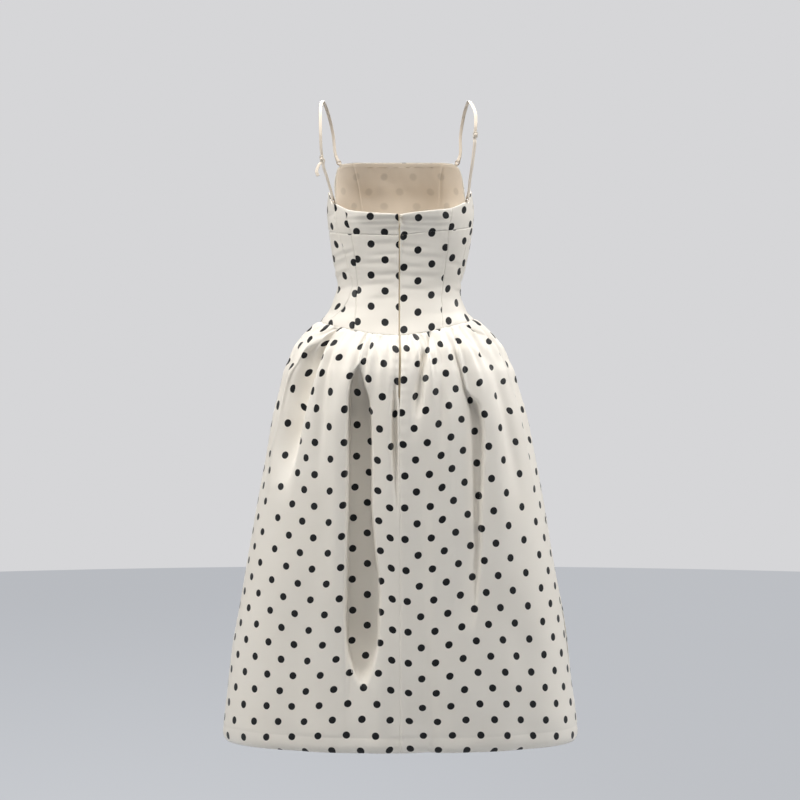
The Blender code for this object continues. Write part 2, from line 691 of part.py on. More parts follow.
def box(name, size, centre, made_of):
    x, y, z = (half / 2 for half in size)
    points = [(a * x, b * y, c * z) for a in (-1, 1) for b in (-1, 1) for c in (-1, 1)]
    faces = [(0, 1, 3, 2), (4, 6, 7, 5), (0, 4, 5, 1), (2, 3, 7, 6), (0, 2, 6, 4), (1, 5, 7, 3)]
    obj = add_object(name, np.array(points) + np.array(centre), faces, made_of)
    return obj


def tube_across(name, radius, length, centre, made_of, sides=16):
    """A solid cylinder along X."""
    angle = np.linspace(0, 2 * np.pi, sides, endpoint=False)
    ring = np.stack([np.zeros(sides), radius * np.cos(angle), radius * np.sin(angle)], axis=1)
    points = np.concatenate([ring - (length / 2, 0, 0), ring + (length / 2, 0, 0)]) + np.array(centre)
    faces = [(k, (k + 1) % sides, sides + (k + 1) % sides, sides + k) for k in range(sides)]
    faces.append(tuple(reversed(range(sides))))
    faces.append(tuple(range(sides, 2 * sides)))
    return add_object(name, points, faces, made_of)


def combine(base, tool, operation):
    """A Boolean modifier, with its tool hidden from the build."""
    tool.hide_render = True
    tool.display_type = "WIRE"
    change = base.modifiers.new(operation.lower(), "BOOLEAN")
    change.operation = operation
    change.solver = "EXACT"
    change.object = tool


def pull_outline():
    """Half widths of the teardrop tab, by the distance below the pin."""
    Row = namedtuple("Row", "below half_width")
    rows = (
        Row(0.00095, 0.0008),
        Row(0.0026, 0.0009),
        Row(0.0045, 0.0014),
        Row(0.0075, 0.0021),
        Row(0.0100, 0.0024),
        Row(0.0120, 0.0019),
        Row(PULL_LENGTH, 0.0004),
    )
    width = curve(rows, "below", "half_width")
    below = np.linspace(rows[0].below, PULL_LENGTH, 12)
    return below, width(below)


def make_zip_hardware():
    on_cloth = body_surface(0.0, SLIDER_Z)
    plate_y = on_cloth[1] + SEAM_GAP + SLIDER_THICK / 2 + 0.0001
    pin_y = plate_y + SLIDER_THICK / 2 + PIN_FROM_PLATE
    x = on_cloth[0]
    plate = box(
        "zip_slider", (SLIDER_WIDTH, SLIDER_THICK, SLIDER_HEIGHT), (x, plate_y, SLIDER_Z), metal()
    )
    for side in (-1, 1):
        centre = (x + side * LUG_OFFSET, plate_y + LUG_REACH / 2 + 0.0002, SLIDER_Z)
        lug = box(f"lug_{side}", (LUG_THICK, LUG_REACH, LUG_HEIGHT), centre, metal())
        combine(plate, lug, "UNION")
    pin = tube_across("pin", PIN_RADIUS, 2 * LUG_OFFSET, (x, pin_y, SLIDER_Z), metal())
    combine(plate, pin, "UNION")

    below, half = pull_outline()
    count = len(below)
    outline = [(-h, -b) for b, h in zip(below, half)]
    outline += [(h, -b) for b, h in zip(below[::-1], half[::-1])]
    faces_y = (pin_y + PULL_THICK / 2, pin_y - PULL_THICK / 2)
    points = [(x + a, y, SLIDER_Z + b) for y in faces_y for a, b in outline]
    total = 2 * count
    faces = [tuple(range(total)), tuple(reversed(range(total, 2 * total)))]
    faces += [(k, total + k, total + (k + 1) % total, (k + 1) % total) for k in range(total)]
    pull = add_object("zip_pull", np.array(points), faces, metal())
    eye = tube_across("eye", EYE_RADIUS, EYE_WIDTH, (x, pin_y, SLIDER_Z), metal())
    combine(pull, eye, "UNION")
    hole = tube_across("eye_hole", EYE_HOLE, 0.01, (x, pin_y, SLIDER_Z), metal())
    combine(pull, hole, "DIFFERENCE")
    origin = Vector((x, pin_y, SLIDER_Z))
    pull.data.transform(Matrix.Translation(-origin))
    pull.location = origin


# ---------------------------------------------------------------- straps, rings and adjusters


def unit(vector):
    return vector / np.linalg.norm(vector, axis=-1, keepdims=True)


def edge_seat(turn):
    """The middle of the top edge at a turn, and the direction along the edge."""
    step = 0.3
    here = body_surface(turn, top_edge(turn))
    thick = SHELL + SEAM_GAP + LINING
    seat = here - outward(body_surface, turn, top_edge(turn)) * thick / 2
    along = body_surface(turn + step, top_edge(turn + step)) - body_surface(
        turn - step, top_edge(turn - step)
    )
    return seat, unit(along)


def window_plate(name, uprights, levels, openings, centre, across, up, made_of):
    """A flat plate with square-cut windows, from its cell borders across and up."""
    facing = unit(np.cross(across, up))
    columns, rows = len(uprights), len(levels)
    base = np.array([centre + a * across + b * up for b in levels for a in uprights])
    points = np.concatenate([base + facing * LOOP_BAR / 2, base - facing * LOOP_BAR / 2])
    back = columns * rows
    cells = {(i, j) for i in range(columns - 1) for j in range(rows - 1)} - set(openings)
    faces = []
    for i, j in sorted(cells):
        a, b = j * columns + i, j * columns + i + 1
        c, d = b + columns, a + columns
        faces.append((a, b, c, d))
        faces.append((back + d, back + c, back + b, back + a))
        beside = ((i, j - 1), (i + 1, j), (i, j + 1), (i - 1, j))
        for (first, second), neighbour in zip(((a, b), (b, c), (c, d), (d, a)), beside):
            if neighbour not in cells:
                faces.append((first, back + first, back + second, second))
    return add_object(name, points, faces, made_of)


def make_ring(name, seat, across, up):
    """A ring above its seat, and the middles of its upper and lower bars."""
    half, tall = RING_WIDTH / 2, RING_HEIGHT / 2
    uprights = (-half, -half + LOOP_BAR, half - LOOP_BAR, half)
    levels = (-tall, -tall + LOOP_BAR, tall - LOOP_BAR, tall)
    centre = seat + up * (RING_STAND + tall)
    window_plate(name, uprights, levels, [(1, 1)], centre, across, up, metal())
    return centre + up * (tall - LOOP_BAR / 2), centre - up * (tall - LOOP_BAR / 2)


def make_adjuster(name, centre, across, up):
    half, tall = ADJUSTER_WIDTH / 2, ADJUSTER_HEIGHT / 2
    bar = LOOP_BAR / 2
    uprights = (-half, -half + LOOP_BAR, half - LOOP_BAR, half)
    levels = (-tall, -tall + LOOP_BAR, -bar, bar, tall - LOOP_BAR, tall)
    window_plate(name, uprights, levels, [(1, 1), (1, 3)], centre, across, up, metal())


def ribbon(name, middle, across, made_of, width=STRAP_WIDTH, thick=STRAP_THICK):
    middle = np.array(middle)
    along = unit(np.gradient(middle, axis=0))
    facing = unit(np.cross(across, along))
    square = unit(np.cross(along, facing))
    return strip(name, middle, square, facing, width, thick, made_of)


def half_turn(centre, outwards, beyond, steps=7):
    """Points round a bar, from the outer side of it to the inner one."""
    angle = np.linspace(0, np.pi, steps)
    return [
        centre + TURN_RADIUS * (np.cos(a) * outwards + np.sin(a) * beyond) for a in angle
    ]


def make_tab(name, seat, across, up, bar):
    """The small loop of strap that holds a ring at the top edge."""
    facing = unit(np.cross(across, up))
    foot = STRAP_THICK / 2 + 0.00015
    leg = [seat + up * rise + facing * foot for rise in (TAB_STAND, 0.0014)]
    back = [seat + up * rise - facing * foot for rise in (0.0014, TAB_STAND)]
    middle = leg + half_turn(bar, facing, up) + back
    ribbon(name, middle, np.tile(across, (len(middle), 1)), strap_satin())


class Route:
    """A smooth line through points, measured from its start, with the strap's directions."""

    def __init__(self, points, first_across, last_across):
        points = np.array(points)
        steps = np.concatenate([[0], np.cumsum(np.linalg.norm(np.diff(points, axis=0), axis=1))])
        Row = namedtuple("Row", "s x y z")
        rows = [Row(s, *p) for s, p in zip(steps, points)]
        self.length = steps[-1]
        self.axes = [curve(rows, "s", axis) for axis in "xyz"]
        self.top = steps[int(np.argmax(points[:, 2]))]
        self.first_across, self.last_across = first_across, last_across

    def at(self, s):
        return np.array([axis(s) for axis in self.axes])

    def frame(self, s):
        """Across, along and outwards at a length."""
        along = unit(self.at(min(s + 0.001, self.length)) - self.at(max(s - 0.001, 0.0)))
        ends = ease((self.top - s) / self.top), ease((s - self.top) / (self.length - self.top))
        level = np.array((1.0, 0.0, 0.0))
        across = unit(
            ends[0] * self.first_across + ends[1] * self.last_across + (1 - ends[0] - ends[1]) * level
        )
        facing = unit(np.cross(across, along))
        return unit(np.cross(along, facing)), along, facing


Offset = namedtuple("Offset", "s out")


def make_strap(side, strap):
    ends = {}
    for place, turn in (("front", strap.front_turn), ("back", strap.back_turn)):
        seat, along_edge = edge_seat(turn)
        towards = np.array(strap.route[0] if place == "front" else strap.route[-1])
        across = along_edge * (-1.0 if place == "front" else 1.0)
        up = towards - seat
        up = unit(up - across * np.dot(up, across))
        top_bar, low_bar = make_ring(f"ring_{place}_{side}", seat, across, up)
        make_tab(f"tab_{place}_{side}", seat, across, up, low_bar)
        ends[place] = (top_bar, across, up)

    front_bar, front_across, front_up = ends["front"]
    back_bar, back_across, back_up = ends["back"]
    points = [front_bar, front_bar + front_up * STRAP_LEAD]
    points += [np.array(point) for point in strap.route]
    points += [back_bar + back_up * STRAP_LEAD, back_bar]
    route = Route(points, front_across, back_across)

    samples = np.linspace(route.top, route.length, 400)
    heights = np.array([route.at(s)[2] for s in samples])
    middle = float(np.interp(-strap.adjuster_z, -heights, samples))
    centre = route.at(middle)
    across, along, _ = route.frame(middle)
    make_adjuster(f"adjuster_{side}", centre, across, -along)

    reach = (ADJUSTER_HEIGHT - LOOP_BAR) / 2
    bar_clear = STRAP_THICK / 2 + LOOP_BAR / 2 + 0.0004
    layer = STRAP_THICK / 2 + 0.00018
    end = route.length
    outer_rows = (
        Offset(0.0, TURN_RADIUS),
        Offset(0.010, layer),
        Offset(0.017, 0.0),
        Offset(middle - reach - 0.012, 0.0),
        Offset(middle - reach, -bar_clear),
        Offset(middle, bar_clear),
        Offset(middle + reach, -bar_clear),
        Offset(middle + reach + 0.012, layer),
        Offset(end - 0.010, layer),
        Offset(end, TURN_RADIUS),
    )
    inner_rows = (
        Offset(middle, bar_clear),
        Offset(middle + reach, bar_clear + 2 * layer),
        Offset(middle + reach + 0.012, layer),
        Offset(end - 0.010, layer),
        Offset(end, TURN_RADIUS),
    )
    outer_offset = curve(outer_rows, "s", "out")
    inner_offset = curve(inner_rows, "s", "out")

    def stretch(lengths, offset, sense):
        placed_points, directions = [], []
        for s in lengths:
            across, _, facing = route.frame(s)
            placed_points.append(route.at(s) + facing * sense * float(offset(s)))
            directions.append(across)
        return placed_points, directions

    turned_front = half_turn(front_bar, -route.frame(0.0)[2], -front_up)[1:-1]
    turned_back = half_turn(back_bar, route.frame(end)[2], -back_up)[1:-1]
    tail_rows = (Offset(0.0, TURN_RADIUS), Offset(0.010, layer + 0.0001), Offset(0.012, layer + 0.0001))
    tail = stretch(np.linspace(0.011, 0.0, 5), curve(tail_rows, "s", "out"), -1)
    near_adjuster = np.linspace(middle - reach - 0.010, middle + reach + 0.010, 23)
    doubled = max(2, int((end - middle) / 0.012))
    down = (
        np.linspace(0.0, 0.016, 6),
        np.linspace(0.022, near_adjuster[0] - 0.006, 26),
        near_adjuster,
        np.linspace(near_adjuster[-1] + 0.006, end - 0.014, doubled),
        np.linspace(end - 0.010, end, 5),
    )
    up_again = (
        np.linspace(end, end - 0.010, 5),
        np.linspace(end - 0.014, middle + reach + 0.013, doubled),
        np.linspace(middle + reach + 0.010, middle, 9),
    )
    main = stretch(np.concatenate(down), outer_offset, 1)
    back = stretch(np.concatenate(up_again), inner_offset, -1)
    line = tail[0] + turned_front + main[0] + turned_back + back[0]
    directions = (
        tail[1]
        + [route.frame(0.0)[0]] * len(turned_front)
        + main[1]
        + [route.frame(end)[0]] * len(turned_back)
        + back[1]
    )
    ribbon(f"strap_{side}", line, np.array(directions), strap_satin())
    if strap.spare_end:
        start = [
            route.at(s) - route.frame(s)[2] * behind
            for s, behind in ((middle - 0.001, 0.0030), (middle + reach, 0.0046))
        ]
        make_spare_end(f"strap_spare_end_{side}", start + list(strap.spare_end), across)


def make_spare_end(name, points, across):
    loose = unit(np.array((0.90, -0.20, 0.35)))
    route = Route(points, across, loose)
    lengths = np.linspace(0, route.length, 14)
    line = [route.at(s) for s in lengths]
    turned = ease((lengths / route.length)[:, None] * 1.5 - 0.3)
    ribbon(name, line, unit(across * (1 - turned) + loose * turned), strap_satin())


# ---------------------------------------------------------------- build


def clear_scene():
    for obj in list(bpy.data.objects):
        bpy.data.objects.remove(obj, do_unlink=True)


clear_scene()
make_bodice()
make_lining()
make_skirt()
make_zip_tape()
make_zip_hardware()
for side_name, strap_side in STRAPS.items():
    make_strap(side_name, strap_side)
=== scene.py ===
"""The looks of a dotted strappy dress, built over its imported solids.

A "turn" is an angle in degrees around the body: 0 at the centre back, 90 at the wearer's left
side, 180 at the centre front. The dress faces -Y, and the camera looks at its back.
"""

import math
from collections import namedtuple

import bpy
import numpy as np
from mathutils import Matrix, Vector


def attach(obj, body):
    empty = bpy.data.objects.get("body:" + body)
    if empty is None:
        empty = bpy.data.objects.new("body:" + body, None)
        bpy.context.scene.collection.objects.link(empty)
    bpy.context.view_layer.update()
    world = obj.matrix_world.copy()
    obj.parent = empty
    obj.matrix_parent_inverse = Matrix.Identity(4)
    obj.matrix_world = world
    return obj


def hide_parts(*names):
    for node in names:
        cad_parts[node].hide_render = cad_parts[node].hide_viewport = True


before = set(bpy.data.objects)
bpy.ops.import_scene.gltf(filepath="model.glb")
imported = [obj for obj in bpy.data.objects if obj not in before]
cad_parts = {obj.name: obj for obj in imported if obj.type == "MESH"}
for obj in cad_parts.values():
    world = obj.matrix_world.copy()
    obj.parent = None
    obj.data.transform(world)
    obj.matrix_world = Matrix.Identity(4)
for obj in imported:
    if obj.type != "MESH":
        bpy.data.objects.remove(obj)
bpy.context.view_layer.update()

# ================================================================ the form, as in the solids

HEM_Z = -1.182
OVAL_POWER = 2.3
SKIRT_POWER = 2.05
WAIST_SEAM_SIDE_Z = -0.4045
WAIST_SEAM_DIP = 0.0240
WAIST_SEAM_TILT = 0.0025
BAND_SEAM_TILT = 0.0045
TOP_EDGE_TILT = 0.0020
BUST_RISE, BUST_TURN, BUST_SPREAD = 0.009, 34.0, 20.0
BUST_Z, BUST_HEIGHT = -0.205, 0.045
HEM_ROLL_HEIGHT, HEM_ROLL_DEPTH = 0.015, 0.008
HEM_TURN_UP = 0.028


def rows_of(kind, *rows):
    """A table whose rows are all of one kind."""
    return tuple(kind(*row) for row in rows)


Section = namedtuple("Section", "z half_width front back shift")
BODY = rows_of(
    Section,
    (-0.44, 0.154, 0.102, 0.1165, 0.0035), (-0.43, 0.15, 0.1, 0.112, 0.0035),
    (-0.405, 0.1425, 0.096, 0.1005, 0.0037), (-0.389, 0.1288, 0.0928, 0.0945, 0.0046),
    (-0.378, 0.1232, 0.0905, 0.0908, 0.004), (-0.365, 0.1184, 0.088, 0.0868, 0.0045),
    (-0.352, 0.1154, 0.0862, 0.0835, 0.003), (-0.339, 0.1141, 0.0852, 0.0812, 0.0012),
    (-0.322, 0.118, 0.0862, 0.0802, 0.0005), (-0.298, 0.1227, 0.092, 0.0815, 0),
    (-0.274, 0.1277, 0.1005, 0.084, -0.0008), (-0.239, 0.1327, 0.1115, 0.0875, -0.0012),
    (-0.206, 0.1355, 0.119, 0.089, -0.0009), (-0.181, 0.1355, 0.119, 0.089, -0.0005),
    (-0.15, 0.14, 0.1125, 0.087, 0.002), (-0.11, 0.142, 0.101, 0.084, 0.0035),
)
SKIRT = rows_of(
    Section,
    (-1.182, 0.335, 0.172, 0.177, 0), (-1.147, 0.333, 0.1715, 0.1765, 0),
    (-1.107, 0.3278, 0.171, 0.176, 0), (-1.051, 0.321, 0.17, 0.175, 0),
    (-0.988, 0.3136, 0.169, 0.1735, 0), (-0.894, 0.2969, 0.1675, 0.1715, 0),
    (-0.82, 0.284, 0.166, 0.17, 0), (-0.735, 0.2692, 0.164, 0.1685, 0),
    (-0.644, 0.2525, 0.1605, 0.1665, 0), (-0.581, 0.2405, 0.156, 0.164, 0),
    (-0.524, 0.2248, 0.148, 0.158, 0), (-0.496, 0.2165, 0.141, 0.152, 0),
    (-0.478, 0.2063, 0.135, 0.145, 0), (-0.455, 0.1943, 0.124, 0.133, 0),
    (-0.433, 0.1758, 0.109, 0.115, 0), (-0.415, 0.1573, 0.096, 0.102, 0),
    (-0.4, 0.1425, 0.087, 0.093, 0),
)
EdgePoint = namedtuple("EdgePoint", "turn z")
TOP_EDGE = rows_of(
    EdgePoint,
    (0, -0.209), (8, -0.2073), (24, -0.205), (40, -0.2023), (52, -0.1997), (62, -0.1928),
    (67, -0.1888), (72.6, -0.188), (74.8, -0.18), (77, -0.167), (81, -0.179), (86, -0.1925),
    (94, -0.202), (104, -0.2055), (111, -0.205), (115.5, -0.196), (117.5, -0.168), (119, -0.14),
    (121.5, -0.121), (127, -0.1125), (140, -0.1102), (180, -0.11),
)
EDGE_CORNERS = (67, 72.6, 77, 81, 115.5, 118, 121.5)
BAND_SEAM = rows_of(
    EdgePoint,
    (0, -0.2475), (25, -0.2445), (55, -0.2412), (90, -0.2343), (108, -0.2325), (122, -0.226),
    (140, -0.202), (160, -0.172), (180, -0.162),
)
SeamRow = namedtuple("SeamRow", "z back_left back_right side_left side_right front")
SEAMS = rows_of(
    SeamRow,
    (-0.44, 39, 39, 68, 88, 146), (-0.405, 41.5, 43, 67.5, 87, 148),
    (-0.385, 44.2, 46.8, 60.5, 85, 149.5), (-0.362, 47, 49.5, 55.2, 83, 150.5),
    (-0.34, 49.4, 51.3, 54.8, 80, 151), (-0.31, 50.4, 51.8, 58.8, 74.5, 150.5),
    (-0.278, 51.2, 52, 61.4, 72.5, 149.5), (-0.245, 52.7, 51, 66, 77, 148.5),
    (-0.21, 56.5, 53, 68.5, 81, 147.5), (-0.165, 60, 57, 71, 85, 144),
    (-0.11, 63, 60, 73, 88, 135),
)
GatherRow = namedtuple("GatherRow", "drop height")
GATHERS = rows_of(
    GatherRow,
    (0, 0.0008), (0.006, 0.0018), (0.018, 0.0031), (0.035, 0.0034), (0.06, 0.0022), (0.09, 0.0009),
    (0.13, 0),
)
Fold = namedtuple(
    "Fold", "turn_top turn_middle turn_low drop_top drop_low depth left_width right_width"
)
FOLDS = rows_of(
    Fold,
    # back, left of the zip
    (3.4, 3.6, 3, 0.05, 0.34, 0.0075, 1.9, 1.9), (37, 36, 35, 0.03, 0.6, -0.006, 4.5, 4),
    (46, 46.5, 46, 0.01, 0.3, 0.006, 3.5, 3), (53, 60, 64, 0.01, 0.33, 0.017, 6.5, 2.8),
    (70, 70.5, 71, 0.03, 0.42, -0.005, 5, 5), (80, 81, 82, 0.02, 0.34, 0.006, 4, 4),
    (52, 54, 55, 0.4, 1.2, 0.0055, 7, 7), (12, 12, 11, 0.5, 1.2, -0.004, 5, 5),
    # back, right of the zip
    (-22, -13, -8.5, 0.01, 0.2, 0.008, 2.6, 2.6), (-31, -27, -25, 0.01, 0.24, 0.0055, 3, 3),
    (-44, -45, -42, 0.01, 0.4, 0.0095, 4.5, 2.4), (-53, -54, -54, 0.02, 0.5, -0.0045, 5, 5),
    (-62, -64, -65, 0.01, 0.36, 0.008, 4, 3), (-78, -80, -81, 0.02, 0.38, 0.007, 4, 4),
    (-20, -21, -22, 0.42, 1.2, 0.0045, 6, 6), (-60, -61, -62, 0.45, 1.2, 0.005, 6, 6),
    # front
    (99, 98, 98, 0.02, 0.4, 0.008, 4, 4), (114, 112, 111, 0.02, 0.48, 0.015, 3.5, 6),
    (129, 128, 127, 0.01, 0.36, 0.007, 3.5, 3.5), (143, 144, 145, 0.03, 0.6, 0.017, 7, 3.6),
    (158, 158, 158, 0.01, 0.32, 0.006, 3.2, 3.2), (171, 172, 173, 0.02, 0.44, 0.011, 3.6, 5),
    (187, 186, 186, 0.01, 0.34, 0.0065, 3.2, 3.2), (202, 203, 204, 0.03, 0.66, 0.019, 3.4, 8),
    (217, 217, 216, 0.01, 0.3, 0.006, 3.4, 3.4), (231, 232, 234, 0.02, 0.5, 0.012, 5, 3.4),
    (246, 246, 246, 0.01, 0.38, 0.007, 3.6, 3.6), (259, 261, 262, 0.02, 0.4, 0.008, 4, 4),
    (125, 125, 125, 0.5, 1.2, 0.005, 7, 7), (180, 181, 182, 0.5, 1.2, 0.0045, 7, 7),
    (236, 236, 236, 0.5, 1.2, 0.005, 7, 7),
)
SkirtPanel = namedtuple("SkirtPanel", "start end gathers sway seed")
SKIRT_PANELS = {
    "skirt_back_left": SkirtPanel(0, 90, 12, 0.020, 3),
    "skirt_back_right": SkirtPanel(-90, 0, 12, -0.018, 5),
    "skirt_front": SkirtPanel(90, 270, 24, 0.012, 8),
}

# ================================================================ fine form, for the looks only

# Sharp pinches of the gathers. They start at the waist seam, unevenly spaced, and fade out below.
PINCHES = rows_of(
    Fold,
    # back, left of the zip
    (9.2, 8.9, 8.6, -0.003, 0.014, 0.0032, 0.8, 0.8),
    (11.8, 10.6, 9.4, -0.003, 0.044, 0.0036, 0.9, 0.8),
    (15.3, 14.8, 14.2, 0.001, 0.02, 0.0036, 1.2, 1),
    (19.8, 17.9, 16.6, -0.003, 0.04, 0.0062, 1.3, 0.8),
    (24, 24.4, 24.8, -0.002, 0.018, 0.0026, 0.9, 0.9),
    (28.2, 29, 29.8, -0.003, 0.036, 0.0068, 0.9, 1.6),
    (36.5, 36, 36, -0.002, 0.02, 0.0028, 0.9, 0.9), (41, 41.6, 42.5, -0.002, 0.03, 0.003, 1, 1),
    (47.3, 45.6, 43.5, -0.003, 0.03, 0.004, 1, 1.2),
    (54.6, 55.4, 58.8, -0.003, 0.085, 0.0058, 2.6, 0.8), (56, 61.5, 67, 0, 0.03, 0.0055, 1.8, 1.4),
    (66, 68, 69.5, -0.002, 0.06, 0.004, 1.2, 1.2), (74, 76.5, 78, -0.002, 0.085, 0.004, 1.4, 1.2),
    (84.5, 85.5, 86, -0.002, 0.07, 0.0036, 1.2, 1.2),
    # back, right of the zip
    (-5, -4.8, -4.6, -0.002, 0.016, 0.0026, 0.8, 0.8),
    (-9.8, -8.2, -6.4, -0.003, 0.026, 0.0038, 0.9, 1),
    (-15, -14.4, -14, -0.002, 0.03, 0.0028, 0.9, 0.9),
    (-20.3, -21.2, -23.4, -0.003, 0.05, 0.0075, 1.6, 0.9),
    (-30, -27.2, -24.8, -0.003, 0.036, 0.007, 0.9, 1.4),
    (-31.2, -28, -26.3, 0, 0.09, 0.0034, 0.9, 0.9),
    (-32.4, -31.4, -31, 0.008, 0.072, 0.0024, 0.9, 0.9),
    (-37, -36, -35, -0.003, 0.032, 0.0044, 1, 0.8),
    (-42, -41, -40, -0.002, 0.024, 0.0028, 0.9, 0.9),
    (-50, -46.5, -43, -0.003, 0.06, 0.0048, 1.1, 0.9),
    (-55.5, -54.6, -57.5, -0.003, 0.06, 0.0056, 0.9, 1.2),
    (-59.5, -68.5, -80, -0.001, 0.044, 0.0085, 1.3, 1.5),
    (-61, -58, -55.8, 0.012, 0.1, 0.003, 1.1, 1.1),
    (-73, -75.5, -77.5, -0.002, 0.08, 0.004, 1.3, 1.3),
    (-84, -85.5, -86.5, -0.002, 0.07, 0.0036, 1.3, 1.3),
    # front
    (94.5, 94, 93.5, 0.002, 0.08, 0.0045, 1.3, 1.3),
    (104, 103, 102.5, 0.003, 0.085, 0.0051, 1.3, 1.3),
    (110, 108.5, 107.5, 0.002, 0.07, 0.0045, 1.2, 1.2),
    (119, 118, 117.5, 0.003, 0.095, 0.0054, 1.2, 1.3),
    (124.5, 123.5, 122, 0.002, 0.07, 0.0045, 1.1, 1.1),
    (134, 134.5, 135, 0.003, 0.09, 0.0054, 1.2, 1.2),
    (139, 140, 141, 0.002, 0.07, 0.0045, 1.1, 1.1),
    (149.5, 150, 150.5, 0.003, 0.095, 0.0054, 1.1, 1.2),
    (154, 154.5, 154.5, 0.002, 0.065, 0.0042, 1, 1),
    (163, 163, 163, 0.003, 0.09, 0.0051, 1.1, 1.1), (168, 167.5, 167, 0.002, 0.07, 0.0045, 1, 1),
    (177.5, 177.5, 177.5, 0.003, 0.095, 0.0054, 1.1, 1.1),
    (182.5, 182, 182, 0.002, 0.065, 0.0042, 1, 1),
    (192, 192.5, 193, 0.003, 0.085, 0.0051, 1.1, 1.1),
    (197, 198, 199, 0.002, 0.075, 0.0048, 1.1, 1.1),
    (208.5, 209, 209.5, 0.003, 0.09, 0.0054, 1.2, 1.2),
    (213, 213, 213.5, 0.002, 0.065, 0.0042, 1.1, 1.1),
    (223.5, 224.5, 225, 0.003, 0.09, 0.0054, 1.2, 1.2),
    (238.5, 239.5, 240.5, 0.002, 0.085, 0.0051, 1.3, 1.2),
    (251.5, 252.5, 253, 0.003, 0.08, 0.0048, 1.3, 1.3),
    (266, 266, 266.5, 0.002, 0.07, 0.0042, 1.3, 1.3),
)

# The deep fold left of the zip, which goes in along -Y, so that its sharp left lip hides its wall.
DEEP_FOLDS = (Fold(29.6, 29.4, 28.0, 0.04, 0.72, 0.0300, 1.2, 12.5),)

# Folds of the back with sharp borders, which go in along -Y too. Each row gives the turns of the
# fold's two borders and its depth at them.
ValleyRow = namedtuple("ValleyRow", "z left right left_depth right_depth")
Valley = namedtuple("Valley", "rows left_wall right_wall")


def valley(left_wall, right_wall, *rows):
    return Valley(rows_of(ValleyRow, *rows), left_wall, right_wall)


VALLEYS = (
    valley(
        1.2, 0.6,
        (-0.49, 1.8, 0.9, 0, 0), (-0.53, 3, 0.9, 0.004, 0.006), (-0.6, 4.4, 0.9, 0.008, 0.012),
        (-0.65, 3.8, 0.9, 0.005, 0.009), (-0.7, 3, 0.9, 0.003, 0.005), (-0.76, 2.4, 0.9, 0, 0),
    ),
    valley(
        0.6, 1.1,
        (-0.476, 25.5, 24.8, 0, 0), (-0.492, 28.7, 24, 0.014, 0.016),
        (-0.515, 30.4, 22, 0.026, 0.03), (-0.545, 31, 18.4, 0.026, 0.038),
        (-0.6, 30.4, 17.2, 0.018, 0.038), (-0.72, 29.8, 17.1, 0.014, 0.036),
        (-0.8, 30.5, 15.4, 0.016, 0.037), (-0.902, 31, 12.2, 0.022, 0.036),
        (-0.974, 30.1, 12.9, 0.032, 0.036), (-1.027, 26.9, 16.2, 0.026, 0.024),
        (-1.062, 21, 20.4, 0, 0),
    ),
    valley(
        5.0, 1.4,
        (-0.415, 58, 51, 0, 0), (-0.44, 61, 50, 0.005, 0.018), (-0.473, 68, 53.4, 0.008, 0.029),
        (-0.522, 71, 55.4, 0.008, 0.031), (-0.596, 72, 58, 0.005, 0.023),
        (-0.637, 73, 60.4, 0.003, 0.014), (-0.7, 73, 62.5, 0, 0),
    ),
    valley(
        2.2, 0.9,
        (-0.425, -20, -27.5, 0, 0.003), (-0.441, -17, -25.1, 0.001, 0.008),
        (-0.49, -9.5, -17.4, 0.001, 0.01), (-0.535, -7, -15.8, 0.001, 0.008),
        (-0.575, -6.5, -13.8, 0, 0),
    ),
    valley(
        3.5, 1.3,
        (-0.42, -42, -48, 0, 0.003), (-0.462, -33, -41.2, 0.001, 0.008),
        (-0.521, -30, -42.2, 0.001, 0.012), (-0.556, -31, -47.6, 0.001, 0.017),
        (-0.591, -31, -48.2, 0.001, 0.019), (-0.688, -30, -46.6, 0.001, 0.019),
        (-0.751, -30, -44.8, 0.001, 0.018), (-0.826, -30, -43.8, 0.001, 0.016),
        (-0.9, -29, -42, 0.001, 0.008), (-0.96, -28, -40, 0, 0),
    ),
    valley(
        3.0, 8.0,
        (-0.58, -5, -12, 0, 0), (-0.68, -3, -15, 0.001, 0.004), (-0.76, -3, -16, 0.001, 0.006),
        (-0.93, -2.5, -17, 0.001, 0.008), (-1.04, -2.5, -18, 0.001, 0.008),
        (-1.19, -2.5, -20, 0.001, 0.011),
    ),
)

